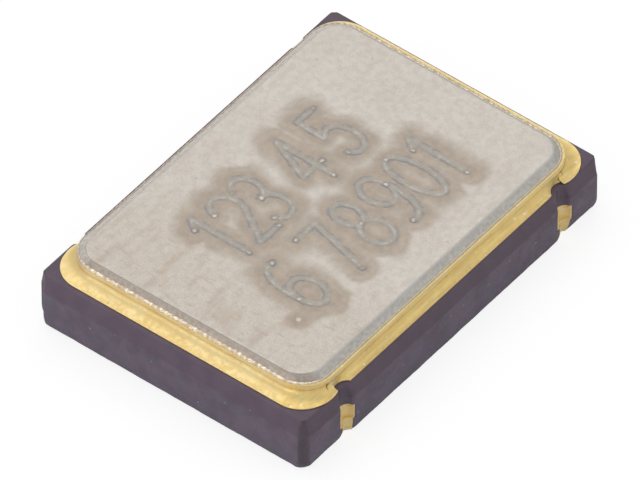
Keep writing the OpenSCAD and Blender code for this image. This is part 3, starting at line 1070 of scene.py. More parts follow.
def make_speck_group():
    """Scattered round specks: a share of the cells holds one each."""
    tree, nodes, start, end = new_group(
        "speck_field",
        [
            ("Cells", FLOAT, 10.0),
            ("Size", FLOAT, 0.25),
            ("Share", FLOAT, 0.2),
            ("Shift", FLOAT, 0.0),
        ],
        [("Mask", FLOAT)],
    )
    inputs = {0: place_mm(nodes), 1: start["Shift"]}
    moved = nodes.add("ShaderNodeVectorMath", inputs, operation="ADD")
    inputs = {"Vector": moved.outputs[0], "Scale": start["Cells"]}
    cells = nodes.add("ShaderNodeTexVoronoi", inputs)
    dot = nodes.span(cells.outputs["Distance"], start["Size"], nodes.times(start["Size"], 0.5))
    split = nodes.add("ShaderNodeSeparateColor", {0: cells.outputs["Color"]})
    chosen = nodes.math("LESS_THAN", split.outputs[0], start["Share"])
    nodes.feed(end["Mask"], nodes.times(dot, chosen))
    return tree


# Samples of the bevel, and how much the noise between two levels weakens or strengthens wear
EDGE_SAMPLES = 4
EDGE_CLOUD = (0.35, 0.6)
EDGE_WEAR = (0.3, 1.6)


def make_edge_group():
    """Edges and corners, ragged with noise, where handling wears a surface."""
    tree, nodes, start, end = new_group(
        "edge_wear",
        [("Radius", FLOAT, 0.02), ("Low", FLOAT, 0.02), ("High", FLOAT, 0.2), ("Cells", FLOAT, 12.0)],
        [("Mask", FLOAT)],
    )
    radius = nodes.times(start["Radius"], MM)
    bevel = nodes.add("ShaderNodeBevel", {"Radius": radius}, samples=EDGE_SAMPLES)
    flat = nodes.add("ShaderNodeNewGeometry").outputs["Normal"]
    inputs = {0: bevel.outputs[0], 1: flat}
    facing = nodes.add("ShaderNodeVectorMath", inputs, operation="DOT_PRODUCT").outputs["Value"]
    cloud = cloud_at(nodes, place_mm(nodes), start["Cells"], 3.0)
    ragged = nodes.times(nodes.rest(facing), nodes.span(cloud, *EDGE_CLOUD, *EDGE_WEAR))
    nodes.feed(end["Mask"], nodes.span(ragged, start["Low"], start["High"]))
    return tree


def make_height_group():
    """0 below one height and 1 above another, in millimetres, with a wavering line."""
    tree, nodes, start, end = new_group(
        "height_step",
        [("Bottom", FLOAT, 0.0), ("Top", FLOAT, 1.0), ("Waver", FLOAT, 0.0), ("Cells", FLOAT, 6.0)],
        [("Mask", FLOAT)],
    )
    place = place_mm(nodes)
    height = nodes.add("ShaderNodeSeparateXYZ", {0: place}).outputs[2]
    cloud = cloud_at(nodes, place, start["Cells"], 2.0)
    moved = nodes.sum(height, nodes.times(nodes.less(cloud, 0.5), start["Waver"]))
    nodes.feed(end["Mask"], nodes.span(moved, start["Bottom"], start["Top"]))
    return tree


SIDE_BLEND = 0.2


def make_side_group():
    """Masks of the near short side, the near long side and the far long side, which start at
    given distances from the middle and fill over the blend."""
    tree, nodes, start, end = new_group(
        "side_masks",
        [("Half Length", FLOAT, 3.0), ("Half Width", FLOAT, 2.0), ("Blend", FLOAT, SIDE_BLEND)],
        [("Short Side", FLOAT), ("Front Side", FLOAT), ("Back Side", FLOAT)],
    )
    place = nodes.add("ShaderNodeSeparateXYZ", {0: place_mm(nodes)})
    for axis, sign, size, side in (
        (0, -1.0, "Half Length", "Short Side"),
        (1, -1.0, "Half Width", "Front Side"),
        (1, 1.0, "Half Width", "Back Side"),
    ):
        past = nodes.less(nodes.times(place.outputs[axis], sign), start[size])
        nodes.feed(end[side], nodes.span(past, 0.0, start["Blend"]))
    return tree


GRAIN = make_grain_group()
SPECKS = make_speck_group()
EDGES = make_edge_group()
HEIGHT = make_height_group()
SIDES = make_side_group()


def new_material(name, roughness=0.5, metallic=0.0):
    """A material with a Principled shader, and the helper that adds to its tree."""
    material = bpy.data.materials.new(name)
    material.use_nodes = True
    material.node_tree.nodes.clear()
    nodes = Nodes(material.node_tree)
    inputs = {"Roughness": roughness, "Metallic": metallic}
    shader = nodes.add("ShaderNodeBsdfPrincipled", inputs)
    nodes.add("ShaderNodeOutputMaterial", {"Surface": shader.outputs[0]})
    return material, nodes, shader


def give_surface(nodes, shader, colour, roughness):
    """The shader's colour and roughness."""
    nodes.feed(shader.inputs["Base Color"], colour)
    nodes.feed(shader.inputs["Roughness"], roughness)


def add_bump(nodes, shader, height, depth_mm, strength=1.0):
    """The shader's normal, raised by a height between 0 and 1 of so many millimetres."""
    inputs = {"Height": height, "Strength": strength, "Distance": depth_mm * MM}
    nodes.feed(shader.inputs["Normal"], nodes.add("ShaderNodeBump", inputs).outputs[0])


def rgb(red, green, blue):
    """A linear colour."""
    return (red, green, blue, 1.0)


# ---------------------------------------------------------------- ceramic
CERAMIC_LIGHT = rgb(0.142, 0.103, 0.146)
CERAMIC_DEEP = rgb(0.100, 0.071, 0.104)
CERAMIC_PALER_LOW = rgb(0.172, 0.148, 0.196)
CERAMIC_BLUISH = rgb(0.112, 0.116, 0.150)
CERAMIC_GRAIN = rgb(0.160, 0.128, 0.165)
CERAMIC_SMOOTH = rgb(0.098, 0.060, 0.094)
CERAMIC_SHADED = rgb(0.070, 0.042, 0.058)
CERAMIC_TEAL = rgb(0.120, 0.150, 0.180)
CERAMIC_FLECK = rgb(0.26, 0.24, 0.28)
CERAMIC_WORN = rgb(0.21, 0.18, 0.20)
CERAMIC_HOLLOW_SHADE = rgb(0.044, 0.030, 0.037)

# Heights at which the smooth upper band and the paler lower flanks start and are full
SMOOTH_FROM_Z = TOP_Z - TOP_GROOVE_H - 0.012
SMOOTH_FULL_Z = TOP_Z - TOP_GROOVE_H + 0.030
PALER_LOW_FROM_Z = 0.62
PALER_LOW_FULL_Z = 0.28


def ceramic_material():
    """Dark purple-brown fired ceramic with rough broken flanks and painted shade in its notches and
    castellations.
    """
    material, nodes, shader = new_material("dark_ceramic")
    cloud = nodes.group(GRAIN, Cells=3.4, Detail=4.0, Low=0.36, High=0.64)
    bluish = nodes.group(GRAIN, Cells=2.6, Stretch=(1.1, 1.1, 1.7), Detail=5.0, Low=0.48, High=0.66)
    grain = nodes.group(GRAIN, Cells=26.0, Detail=3.0, Low=0.3, High=0.7)
    fleck = nodes.group(SPECKS, Cells=6.5, Size=0.17, Share=0.24)
    teal = nodes.group(SPECKS, Cells=8.0, Size=0.34, Share=0.22, Shift=3.7)
    worn = nodes.group(EDGES, Radius=0.022, Low=0.015, High=0.16, Cells=14.0)
    smooth = nodes.group(HEIGHT, Bottom=SMOOTH_FROM_Z, Top=SMOOTH_FULL_Z, Waver=0.07, Cells=5.0)
    rough_part = nodes.rest(smooth)
    paler_low = nodes.group(HEIGHT, Bottom=PALER_LOW_FROM_Z, Top=PALER_LOW_FULL_Z, Waver=0.2, Cells=3.0)
    front = nodes.group(SIDES, "Front Side", Half_Width=BODY_W / 2 - SIDE_BLEND)
    hollow_shade = nodes.span(nodes.stored("hollow_shade"), 0.0, 0.9)
    colour = nodes.layers(
        nodes.blend(cloud, CERAMIC_LIGHT, CERAMIC_DEEP),
        (
            # a paler, bluer tone towards the foot
            (paler_low, 0.26, CERAMIC_PALER_LOW),
            (nodes.times(bluish, rough_part), 0.55, CERAMIC_BLUISH),
            (grain, 0.35, CERAMIC_GRAIN),
            (smooth, 0.55, CERAMIC_SMOOTH),
            (nodes.times(smooth, front), 0.45, CERAMIC_SHADED),
            (nodes.times(teal, rough_part), 0.5, CERAMIC_TEAL),
            (nodes.times(fleck, rough_part), 0.8, CERAMIC_FLECK),
            (worn, 0.5, CERAMIC_WORN),
            # painted shade in the notches and castellations
            (hollow_shade, 0.55, CERAMIC_HOLLOW_SHADE),
        ),
    )
    dull = nodes.span(grain, 0.0, 1.0, 0.50, 0.68)
    give_surface(nodes, shader, colour, nodes.less(dull, nodes.times(smooth, 0.14)))
    relief = nodes.times(grain, nodes.span(smooth, 0, 1, 1.0, 0.35))
    add_bump(nodes, shader, relief, 0.0035, 0.8)
    return material


# ---------------------------------------------------------------- gold
GOLD_LIGHT = rgb(0.945, 0.770, 0.400)
GOLD_DEEP = rgb(0.890, 0.690, 0.320)
GOLD_PALE = rgb(0.97, 0.855, 0.58)
GOLD_WARM = rgb(0.935, 0.785, 0.465)
GOLD_WORN = rgb(0.98, 0.85, 0.56)
GOLD_FRONT_SHADE = rgb(0.94, 0.710, 0.24)
GOLD_GLINT = rgb(1.0, 0.92, 0.70)
GOLD_FOOT = rgb(1.0, 0.93, 0.76)
GOLD_STAIN = rgb(0.62, 0.47, 0.24)
GOLD_DIRT = rgb(0.23, 0.155, 0.09)
YELLOW_TONES = (GOLD_LIGHT, GOLD_DEEP)
PALE_TONES = (GOLD_PALE, GOLD_WARM)

# Where the front's painted deeper shade and the dark lip start, the heights of the pale foot and of
# the bare land under it, and how far below the pad's top its dirt ends, with the dirt's soft edge
# and metallic share
FRONT_Y = 1.75
FRONT_LIP_Y = 2.35
FRONT_LIP_BLEND = 0.05
PALE_FOOT_Z = 0.09
BARE_LAND_Z = 0.004
PAD_DIRT_DEPTH = 0.003
DIRT_EDGE_H = 0.004
DIRT_METAL = 0.2


def front_lines_and_painted_light(nodes, colour):
    """Drawn lines, painted glints, a painted deeper shade and a darker outer lip on the seal metal's
    near long side.
    """
    front = nodes.group(SIDES, "Front Side", Half_Width=FRONT_Y)
    drawn = nodes.group(
        GRAIN, Cells=11.0, Stretch=(0.16, 1.5, 1.5), Detail=4.0, Low=0.44, High=0.62
    )
    fleck = nodes.group(SPECKS, Cells=10.0, Size=0.26, Share=0.22, Shift=5.1)
    lip = nodes.group(SIDES, "Front Side", Half_Width=FRONT_LIP_Y, Blend=FRONT_LIP_BLEND)
    return nodes.layers(
        colour,
        (
            # painted deeper shade on the near long side
            (front, 0.5, GOLD_FRONT_SHADE),
            (nodes.times(drawn, front), 0.28, GOLD_STAIN),
            # painted glints on the near long side
            (nodes.times(fleck, front), 0.8, GOLD_GLINT),
            (lip, 0.5, GOLD_STAIN),
        ),
    )


def pale_foot(nodes, colour):
    """A paler tone at the foot of a terminal, but not under its land."""
    foot = nodes.group(HEIGHT, Bottom=PALE_FOOT_Z, Top=0.0)
    lifted = nodes.group(HEIGHT, Bottom=BARE_LAND_Z, Top=METAL_T)
    return nodes.blend(nodes.times(foot, lifted), colour, GOLD_FOOT)


def gold_material(
    name, tones, place_tint, roughness, cells, stretch=(1, 1, 1), metal=1.0, dirt_top=None
):
    """Gold plating with grain, small stains and a tint of its place. Stretch draws its streaks,
    and dirt gathers below the given height in millimetres."""
    material, nodes, shader = new_material(name, metallic=metal)
    cloud = nodes.group(GRAIN, Cells=2.6, Detail=3.0, Low=0.35, High=0.65)
    streak = nodes.group(GRAIN, Cells=cells, Stretch=stretch, Detail=3.0, Low=0.3, High=0.7)
    stain = nodes.group(SPECKS, Cells=7.0, Size=0.22, Share=0.10, Shift=1.3)
    worn = nodes.group(EDGES, Radius=0.012, Low=0.02, High=0.25, Cells=10.0)
    colour = nodes.layers(
        nodes.blend(cloud, tones[0], tones[1]),
        ((streak, 0.35, tones[1]), (stain, 0.40, GOLD_STAIN), (worn, 0.4, GOLD_WORN)),
    )
    colour = place_tint(nodes, colour)
    if dirt_top is not None:
        clean = nodes.group(HEIGHT, Bottom=dirt_top - DIRT_EDGE_H, Top=dirt_top)
        colour = nodes.blend(clean, GOLD_DIRT, colour)
        nodes.feed(shader.inputs["Metallic"], nodes.span(clean, 0, 1, DIRT_METAL, metal))
    give_surface(nodes, shader, colour, nodes.span(streak, 0, 1, roughness, roughness + 0.12))
    add_bump(nodes, shader, streak, 0.0022, 0.6)
    return material


# ---------------------------------------------------------------- lid nickel
NICKEL_LIGHT = rgb(0.606, 0.562, 0.508)
NICKEL_DEEP = rgb(0.566, 0.514, 0.455)
NICKEL_NEAR = rgb(0.505, 0.440, 0.370)
NICKEL_MOTTLE = rgb(0.47, 0.42, 0.36)
NICKEL_FINE = rgb(0.66, 0.625, 0.58)
NICKEL_BRUSHED = rgb(0.64, 0.61, 0.57)
NICKEL_SMEAR = rgb(0.48, 0.40, 0.33)
NICKEL_SCRATCH = rgb(0.42, 0.35, 0.29)
NICKEL_SPECK = rgb(0.34, 0.28, 0.23)
HALO_LIGHT = rgb(0.400, 0.325, 0.260)
HALO_DEEP = rgb(0.370, 0.312, 0.254)
HALO_EDGE = rgb(0.335, 0.255, 0.185)
STROKE_BED = rgb(0.365, 0.370, 0.350)
STROKE_LINE = rgb(0.245, 0.263, 0.292)
STROKE_CORE = rgb(0.60, 0.61, 0.59)
PIT_RING = rgb(0.22, 0.18, 0.15)
PIT_GLINT = rgb(0.76, 0.74, 0.69)

# The halo's share at which its darker edge lies, the shares away from there at which the edge
# starts and is full, and the share of the halo's wander that the dot's halo has
HALO_EDGE_LEVEL = 0.45
HALO_EDGE_SPAN = (0.42, 0.0)
DOT_WANDER = 0.4

# Distances in mm from a stroke, a pit or the dot: where a mark starts and is full, where the
# middle of a line or ring lies, and how far an edge wanders
HALO_SPAN = (0.40, 0.09)
HALO_WANDER = 0.07
DOT_HALO_SPAN = (0.27, 0.08)
LINE_MIDDLE = 0.054
LINE_SPAN = (0.034, 0.004)
LINE_WANDER = 0.010
BED_SPAN = (0.066, 0.026)
CORE_SPAN = (0.020, 0.004)
GROOVE_SPAN = (0.07, 0.03)
PIT_RING_MIDDLE = 0.045
PIT_RING_SPAN = (0.03, 0.008)
PIT_SPAN = (0.032, 0.006)
PIT_WANDER = 0.016
DOT_SPAN = (0.055, 0.025)

# Distances from the middle at which the rim and the near end's tint start, and over which the
# tint fills
RIM_X = 2.75
RIM_Y = 1.75
NEAR_TINT_X = 0.4
NEAR_TINT_BLEND = 2.4

# Light and dark tone of the rim's grain on the near short side, the front and the far sides: its
# darker weld tint as lit and shaded copies, painted darker on the near short side and painted light
# on the far sides
RIM_NEAR_SHADE = (rgb(0.565, 0.480, 0.410), rgb(0.425, 0.355, 0.300))
RIM_FRONT = (rgb(0.60, 0.58, 0.54), rgb(0.46, 0.445, 0.41))
RIM_FAR_LIT = (rgb(0.88, 0.84, 0.80), rgb(0.70, 0.65, 0.60))
SHOULDER_HIGHLIGHT = rgb(0.68, 0.69, 0.68)
SHOULDER_SHADE = rgb(0.36, 0.33, 0.30)

# Depths below the flat top at which the masks of the rim start and are full
FLAT_TOP_DEPTHS = (0.034, 0.002)
BELOW_TOP_DEPTHS = (0.0003, 0.003)
ABOVE_SLOPE_DEPTHS = (0.016, 0.008)


def nickel_skin(nodes, mottle, fine):
    """The lid's bare metal: cloudy, brushed, smeared and scratched, more so at its near end."""
    cloud = nodes.group(GRAIN, Cells=0.9, Detail=5.0, Low=0.32, High=0.68)
    brushed = nodes.group(GRAIN, Cells=6.0, Stretch=(0.7, 5.5, 1), Detail=3.0, Low=0.35, High=0.65)
    smear = nodes.group(GRAIN, Cells=1.6, Stretch=(1, 2.6, 1), Detail=6.0, Low=0.48, High=0.70)
    scratch = nodes.group(GRAIN, Cells=5.0, Stretch=(3.5, 1, 1), Detail=5.0, Low=0.56, High=0.70)
    speck = nodes.group(SPECKS, Cells=4.0, Size=0.10, Share=0.18, Shift=9.1)
    toward = nodes.group(SIDES, "Short Side", Half_Length=NEAR_TINT_X, Blend=NEAR_TINT_BLEND)
    return nodes.layers(
        nodes.blend(cloud, NICKEL_LIGHT, NICKEL_DEEP),
        (
            (toward, 0.6, NICKEL_NEAR),
            (mottle, 0.30, NICKEL_MOTTLE),
            (fine, 0.50, NICKEL_FINE),
            (brushed, 0.10, NICKEL_BRUSHED),
            (smear, nodes.span(toward, 0, 1, 0.14, 0.62), NICKEL_SMEAR),
            (scratch, nodes.span(toward, 0, 1, 0.10, 0.40), NICKEL_SCRATCH),
            (speck, 0.4, NICKEL_SPECK),
        ),
    )


def nickel_marking(nodes, colour, mottle):
    """The laser's marks: a brown halo with a darker edge, melted lines, and pits at the strokes'
    ends with a painted glint in each. Gives the colour, the melted line, the pits and the distance to
    the strokes."""
    stroke, pit, dot = (nodes.stored(f"{name}_distance") for name in ("stroke", "pit", "dot"))
    waver = nodes.group(GRAIN, Cells=2.2, Detail=2.5, Low=0.2, High=0.8)
    ragged = nodes.span(waver, 0, 1, -HALO_WANDER, HALO_WANDER)
    dot_path = nodes.sum(dot, nodes.times(ragged, DOT_WANDER))
    dot_halo = nodes.span(dot_path, *DOT_HALO_SPAN)
    halo = nodes.highest(nodes.span(nodes.sum(stroke, ragged), *HALO_SPAN), dot_halo)
    halo_edge = nodes.span(nodes.away_from(halo, HALO_EDGE_LEVEL), *HALO_EDGE_SPAN)
    patches = nodes.group(GRAIN, Cells=1.1, Detail=2.0, Low=0.40, High=0.62)
    tremble = nodes.group(GRAIN, Cells=13.0, Detail=2.0, Low=0.25, High=0.75)
    breaks = nodes.group(GRAIN, Cells=5.5, Detail=2.0, Low=0.40, High=0.60)
    path = nodes.sum(stroke, nodes.span(tremble, 0, 1, -LINE_WANDER, LINE_WANDER))
    line = nodes.span(nodes.away_from(path, LINE_MIDDLE), *LINE_SPAN)
    line = nodes.times(line, nodes.span(breaks, 0, 1, 0.10, 1.0))
    core = nodes.times(nodes.span(path, *CORE_SPAN), nodes.span(breaks, 1, 0, 0.0, 1.0))
    pit_path = nodes.sum(pit, nodes.span(tremble, 0, 1, -PIT_WANDER, PIT_WANDER))
    pit_ring = nodes.span(nodes.away_from(pit_path, PIT_RING_MIDDLE), *PIT_RING_SPAN)
    pits = nodes.highest(nodes.span(pit_path, *PIT_SPAN), nodes.span(dot, *DOT_SPAN))
    colour = nodes.layers(
        colour,
        (
            (halo, 0.84, nodes.blend(mottle, HALO_LIGHT, HALO_DEEP)),
            (halo_edge, nodes.span(patches, 0, 1, 0.0, 0.34), HALO_EDGE),
            (nodes.span(path, *BED_SPAN), 0.45, STROKE_BED),
            (line, 0.56, STROKE_LINE),
            (core, 0.40, STROKE_CORE),
            (pit_ring, 0.25, PIT_RING),
            # painted glint in each pit and in the dot
            (pits, 0.42, PIT_GLINT),
        ),
    )
    return colour, line, pits, stroke


def nickel_rim(nodes, colour):
    """The pressed rim's darker weld tint with painted shade and painted light on each side, painted
    light over the back's top edge, and a painted highlight and painted shade on its shoulders.
    """
    flat_top, below_top, above_slope = (
        nodes.group(HEIGHT, Bottom=LID_TOP_Z - start, Top=LID_TOP_Z - full)
        for start, full in (FLAT_TOP_DEPTHS, BELOW_TOP_DEPTHS, ABOVE_SLOPE_DEPTHS)
    )
    near_x = nodes.group(SIDES, "Short Side", Half_Length=RIM_X)
    near_y = nodes.group(SIDES, "Front Side", Half_Width=RIM_Y)
    back = nodes.group(SIDES, "Back Side", Half_Width=RIM_Y)
    grain = nodes.group(GRAIN, Cells=17.0, Detail=5.0, Low=0.30, High=0.70)
    near_shade_tone, front_tone, far_tone = (
        nodes.blend(grain, *tones) for tones in (RIM_NEAR_SHADE, RIM_FRONT, RIM_FAR_LIT)
    )
    rim_lit_and_shaded = nodes.blend(near_x, nodes.blend(near_y, far_tone, front_tone), near_shade_tone)
    shoulder = nodes.times(below_top, above_slope)
    front_only = nodes.times(near_y, nodes.rest(near_x))
    return nodes.layers(
        colour,
        (
            # the rim's darker weld tint with painted shade and painted light by side
            (nodes.rest(flat_top), 0.85, rim_lit_and_shaded),
            # painted light over the back's top edge, which hides the shade line there
            (back, nodes.times(below_top, 0.7), far_tone),
            # painted highlight on the front shoulder and painted shade on the near one
            (nodes.times(shoulder, front_only), 0.6, SHOULDER_HIGHLIGHT),
            (nodes.times(shoulder, near_x), 0.6, SHOULDER_SHADE),
        ),
    )


def lid_material():
    """Bright pressed nickel with a mottled skin, heat-tinted strokes, painted glints in their pits
    and a rim with painted light and shade.
    """
    material, nodes, shader = new_material("lid_nickel", metallic=1.0)
    mottle = nodes.group(GRAIN, Cells=9.0, Detail=4.0, Low=0.35, High=0.65)
    fine = nodes.group(GRAIN, Cells=38.0, Detail=2.0, Low=0.3, High=0.7)
    colour = nickel_skin(nodes, mottle, fine)
    colour, line, pits, stroke = nickel_marking(nodes, colour, mottle)
    colour = nickel_rim(nodes, colour)
    rough = nodes.less(nodes.span(mottle, 0, 1, 0.43, 0.47), nodes.times(pits, 0.06))
    give_surface(nodes, shader, colour, rough)
    groove = nodes.times(nodes.span(stroke, *GROOVE_SPAN), -0.5)
    marks = nodes.sum(groove, nodes.times(line, 0.4))
    texture = nodes.sum(nodes.times(mottle, 0.03), nodes.times(fine, 0.10))
    relief = nodes.sum(nodes.sum(marks, texture), nodes.times(pits, 0.3))
    add_bump(nodes, shader, relief, 0.006, 0.6)
    return material


# ---------------------------------------------------------------- weld beads
# Tones of the weld beads: painted glints on the near short side, the far sides' own tone, and painted
# shade on the front and the back
BEAD_NEAR_GLINT = (rgb(0.98, 0.89, 0.72), rgb(0.74, 0.60, 0.44))
BEAD_FAR = (rgb(0.80, 0.70, 0.52), rgb(0.60, 0.50, 0.34))
BEAD_FRONT_SHADE = rgb(0.56, 0.49, 0.37)
BEAD_BACK_SHADE = rgb(0.58, 0.48, 0.42)


def bead_material():
    """Melted nickel of the seam weld, painted bright with glints on the near short side and painted
    darker on the front and the back.
    """
    material, nodes, shader = new_material("weld_bead_nickel", metallic=1.0)
    mottle = nodes.group(GRAIN, Cells=12.0, Detail=3.0, Low=0.35, High=0.65)
    short = nodes.group(SIDES, "Short Side", Half_Length=RIM_X)
    front = nodes.group(SIDES, "Front Side", Half_Width=RIM_Y)
    back = nodes.group(SIDES, "Back Side", Half_Width=RIM_Y)
    near_glint_tone, far_tone = (nodes.blend(mottle, *tones) for tones in (BEAD_NEAR_GLINT, BEAD_FAR))
    colour = nodes.layers(
        nodes.blend(short, far_tone, near_glint_tone),
        ((nodes.times(front, nodes.rest(short)), 0.8, BEAD_FRONT_SHADE), (back, 0.6, BEAD_BACK_SHADE)),
    )
    give_surface(nodes, shader, colour, nodes.span(mottle, 0, 1, 0.38, 0.52))
    add_bump(nodes, shader, mottle, 0.002, 0.6)
    return material


# ---------------------------------------------------------------- inner finishes
# Light tone, deep tone, roughness, and the cells and depth in mm of the grain
PLAIN_METALS = {
    "printed_gold": (rgb(0.88, 0.70, 0.36), rgb(0.74, 0.55, 0.25), 0.40, 24.0, 0.002),
    "electrode_silver": (rgb(0.93, 0.93, 0.92), rgb(0.83, 0.83, 0.82), 0.14, 30.0, 0.0005),
    "bond_pad_metal": (rgb(0.90, 0.90, 0.91), rgb(0.78, 0.78, 0.80), 0.30, 60.0, 0.001),
    "wire_gold": (rgb(0.97, 0.76, 0.36), rgb(0.90, 0.66, 0.27), 0.16, 40.0, 0.0008),
}

# Light tone, deep tone, metallic share and roughness
GLUES = {
    "silver_adhesive": (rgb(0.78, 0.77, 0.75), rgb(0.52, 0.51, 0.49), 0.6, 0.45),
    "die_glue": (rgb(0.62, 0.60, 0.56), rgb(0.36, 0.34, 0.31), 0.3, 0.5),
}

METAL_SPECK = rgb(0.35, 0.30, 0.22)
QUARTZ_CLEAR = rgb(0.93, 0.95, 0.96)
QUARTZ_HAZE = rgb(0.86, 0.89, 0.92)
QUARTZ_CLEARNESS = 0.8
QUARTZ_IOR = 1.54
SILICON_DARK = rgb(0.10, 0.12, 0.17)
SILICON_LIGHT = rgb(0.20, 0.19, 0.22)
SILICON_GRAIN = rgb(0.30, 0.26, 0.16)


def plain_metal(name, light, deep, roughness, cells, depth_mm):
    """A hidden piece's metal: two tones, grain and specks."""
    material, nodes, shader = new_material(name, metallic=1.0)
    grain = nodes.group(GRAIN, Cells=cells, Detail=3.0, Low=0.3, High=0.7)
    speck = nodes.group(SPECKS, Cells=cells, Size=0.24, Share=0.15, Shift=2.2)
    colour = nodes.layers(nodes.blend(grain, light, deep), [(speck, 0.4, METAL_SPECK)])
    give_surface(nodes, shader, colour, nodes.span(grain, 0, 1, roughness, roughness + 0.15))
    add_bump(nodes, shader, grain, depth_mm, 0.7)
    return material


def glue_material(name, light, deep, metallic, roughness):
    """Adhesive filled with flakes."""
    material, nodes, shader = new_material(name, metallic=metallic)
    flakes = nodes.group(SPECKS, Cells=60.0, Size=0.4, Share=0.5)
    cloud = nodes.group(GRAIN, Cells=9.0, Detail=3.0, Low=0.35, High=0.65)
    colour = nodes.blend(nodes.highest(flakes, nodes.times(cloud, 0.4)), deep, light)
    give_surface(nodes, shader, colour, nodes.span(cloud, 0, 1, roughness, roughness + 0.2))
    add_bump(nodes, shader, flakes, 0.002, 0.6)
    return material


def quartz_material():
    """Clear lapped quartz with a faint haze and scratches."""
    material, nodes, shader = new_material("quartz")
    haze = nodes.group(GRAIN, Cells=3.0, Detail=4.0, Low=0.35, High=0.65)
    lapped = nodes.group(GRAIN, Cells=40.0, Stretch=(0.1, 1, 1), Detail=2.0, Low=0.4, High=0.6)
    colour = nodes.blend(haze, QUARTZ_CLEAR, QUARTZ_HAZE)
    give_surface(nodes, shader, colour, nodes.span(lapped, 0, 1, 0.12, 0.28))
    shader.inputs["Transmission Weight"].default_value = QUARTZ_CLEARNESS
    shader.inputs["IOR"].default_value = QUARTZ_IOR
    add_bump(nodes, shader, lapped, 0.0006, 0.5)
    return material


def silicon_material():
    """Blue-grey silicon with the faint blocks of its circuit."""
    material, nodes, shader = new_material("silicon")
    inputs = {"Vector": place_mm(nodes), "Scale": 9.0}
    blocks = nodes.add("ShaderNodeTexVoronoi", inputs, distance="CHEBYCHEV")
    split = nodes.add("ShaderNodeSeparateColor", {0: blocks.outputs["Color"]})
    grain = nodes.group(GRAIN, Cells=50.0, Detail=2.0, Low=0.35, High=0.65)
    colour = nodes.blend(split.outputs[0], SILICON_DARK, SILICON_LIGHT)
    colour = nodes.layers(colour, [(grain, 0.3, SILICON_GRAIN)])
    give_surface(nodes, shader, colour, nodes.span(grain, 0, 1, 0.18, 0.34))
    add_bump(nodes, shader, split.outputs[1], 0.001, 0.5)
    return material


# ---------------------------------------------------------------- finishes of the pieces
MATERIALS = {
    "dark_ceramic": ceramic_material(),
    "seal_pad_gold": gold_material(
        "seal_pad_gold",
        YELLOW_TONES,
        front_lines_and_painted_light,
        roughness=0.42,
        cells=16.0,
        dirt_top=PAD_TOP_Z - PAD_DIRT_DEPTH,
    ),
    "seal_ring_gold": gold_material(
        "seal_ring_gold",
        PALE_TONES,
        front_lines_and_painted_light,
        roughness=0.46,
        cells=22.0,
        stretch=(1, 1, 0.35),
        metal=0.75,
    ),
    "braze": gold_material("braze", YELLOW_TONES, front_lines_and_painted_light, roughness=0.44, cells=14.0),
    "land_gold": gold_material(
        "land_gold",
        YELLOW_TONES,
        pale_foot,
        roughness=0.42,
        cells=14.0,
        stretch=(1, 0.6, 1),
        metal=0.55,
    ),
    "lid_nickel": lid_material(),
    "weld_bead": bead_material(),
    "quartz": quartz_material(),
    "silicon": silicon_material(),
}
for name, values in PLAIN_METALS.items():
    MATERIALS[name] = plain_metal(name, *values)
for name, values in GLUES.items():
    MATERIALS[name] = glue_material(name, *values)

OUTER_FINISH = [
    (ceramic_body, "dark_ceramic"),
    (seal_pad_plating, "seal_pad_gold"),
    (braze_meniscus, "braze"),
    (weld_ring, "seal_ring_gold"),
    (pressed_lid, "lid_nickel"),
    (weld_seam, "weld_bead"),
]
OUTER_FINISH += [(terminal, "land_gold") for terminal in terminals]

# The finish of the inner nodes, by the start of their names
INNER_FINISH = {
    "inner_lead": "printed_gold",
    "crystal_lead": "printed_gold",
    "mount_pad": "printed_gold",
    "die_pad": "printed_gold",
    "adhesive_dot": "silver_adhesive",
    "quartz_blank": "quartz",
    "upper_electrode": "electrode_silver",
    "lower_electrode": "electrode_silver",
    "die_attach": "die_glue",
    "chip_bond_pads": "bond_pad_metal",
    "chip": "silicon",
    "bond_wire": "wire_gold",
}


def dress(piece, material):
    """The piece shows this material."""
    piece.data.materials.clear()
    piece.data.materials.append(MATERIALS[material])


for piece, finish in OUTER_FINISH:
    dress(piece, finish)
for node_name, node_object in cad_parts.items():
    for start_of_name, finish in INNER_FINISH.items():
        if node_name.startswith(start_of_name):
            dress(node_object, finish)
            break

# ---------------------------------------------------------------- floor
FLOOR_HALF = 0.12
FLOOR_LIFT = 0.82
FLOOR_SEEN = rgb(0.24, 0.24, 0.24)
FLOOR_LIT = rgb(0.88, 0.88, 0.88)
WHITE = rgb(1, 1, 1)


def make_floor():
    """A pale floor under the lands that keeps the soft shadow."""
    mesh = bpy.data.meshes.new("studio_floor")
    corners = [(x * FLOOR_HALF, y * FLOOR_HALF, 0) for x, y in CORNER_SIGNS]
    mesh.from_pydata(corners, [], [(0, 1, 2, 3)])
    floor = bpy.data.objects.new("studio_floor", mesh)
    floor.location = (0, 0, cad_low[2])
    bpy.context.scene.collection.objects.link(floor)
    material = bpy.data.materials.new("studio_floor")
    material.use_nodes = True
    material.node_tree.nodes.clear()
    nodes = Nodes(material.node_tree)
    seen = nodes.add("ShaderNodeLightPath").outputs["Is Camera Ray"]
    matte = nodes.add("ShaderNodeBsdfDiffuse", {"Color": nodes.blend(seen, FLOOR_LIT, FLOOR_SEEN)})
    inputs = {"Color": WHITE, "Strength": nodes.times(seen, FLOOR_LIFT)}
    glow = nodes.add("ShaderNodeEmission", inputs)
    both = nodes.add("ShaderNodeAddShader", {0: matte.outputs[0], 1: glow.outputs[0]})
    nodes.add("ShaderNodeOutputMaterial", {"Surface": both.outputs[0]})
    mesh.materials.append(material)
    return floor


studio_floor = make_floor()

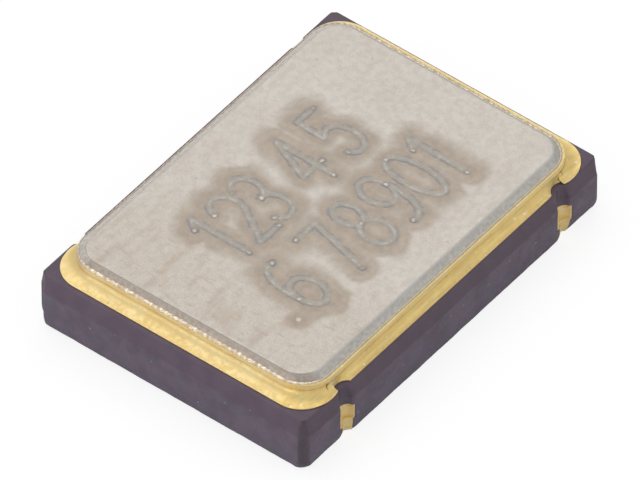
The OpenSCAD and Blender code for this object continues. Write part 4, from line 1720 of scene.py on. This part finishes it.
# ---------------------------------------------------------------- camera
AZIMUTH = math.radians(-51.75)
ELEVATION = math.radians(45.7)
CAMERA_DISTANCE = 0.300
CAMERA_RAISE = 0.265 * MM
CAMERA_SIDE = 0.0087 * MM
CAMERA_SHIFT = Vector((0.020, 0.027, 0.040)) * MM
LENS = 1166.06
SENSOR_WIDTH = 36
CLIP_SPAN = (0.01, 10)

BACK = Vector(
    (
        math.sin(AZIMUTH) * math.cos(ELEVATION),
        -math.cos(AZIMUTH) * math.cos(ELEVATION),
        math.sin(ELEVATION),
    )
)
RIGHT = Vector((math.cos(AZIMUTH), math.sin(AZIMUTH), 0))
UP = BACK.cross(RIGHT)

camera_data = bpy.data.cameras.new("camera")
camera_data.sensor_width = SENSOR_WIDTH
camera_data.lens = LENS
camera_data.clip_start, camera_data.clip_end = CLIP_SPAN
camera = bpy.data.objects.new("camera", camera_data)
bpy.context.scene.collection.objects.link(camera)
camera_turn = Matrix((RIGHT, UP, BACK)).transposed().to_4x4()
camera_place = BACK * CAMERA_DISTANCE + UP * CAMERA_RAISE + RIGHT * CAMERA_SIDE + CAMERA_SHIFT
camera.matrix_world = Matrix.Translation(camera_place) @ camera_turn
bpy.context.scene.camera = camera

# ---------------------------------------------------------------- lights
WORLD_LEVEL = 0.62

# Name, direction from the object, distance, width, height and radiance of each panel
PANELS = (
    ("panel_above", (0.18, 0.46, 0.87), 0.20, 0.26, 0.12, 0.95),
    ("panel_left", (-0.95, 0.10, 0.28), 0.18, 0.14, 0.10, 1.0),
    ("panel_front", (0.45, -0.70, 0.62), 0.20, 0.10, 0.10, 0.42),
)


def add_panel(name, direction, distance, width, height, radiance):
    """A soft white panel that faces the object from one direction."""
    data = bpy.data.lights.new(name, "AREA")
    data.shape = "RECTANGLE"
    data.size = width
    data.size_y = height
    data.energy = radiance * math.pi * width * height
    panel = bpy.data.objects.new(name, data)
    away = Vector(direction).normalized()
    facing = away.to_track_quat("Z", "Y").to_matrix().to_4x4()
    panel.matrix_world = Matrix.Translation(away * distance) @ facing
    bpy.context.scene.collection.objects.link(panel)


def make_world():
    """Even light from all round, which the camera sees as white."""
    world = bpy.data.worlds.new("studio_world")
    world.use_nodes = True
    world.node_tree.nodes.clear()
    nodes = Nodes(world.node_tree)
    seen = nodes.add("ShaderNodeLightPath").outputs["Is Camera Ray"]
    level = nodes.span(seen, 0, 1, WORLD_LEVEL, 1.0)
    sky = nodes.add("ShaderNodeBackground", {"Color": WHITE, "Strength": level})
    nodes.add("ShaderNodeOutputWorld", {"Surface": sky.outputs[0]})
    return world


for panel in PANELS:
    add_panel(*panel)
bpy.context.scene.world = make_world()
bpy.context.scene.view_settings.view_transform = "Standard"
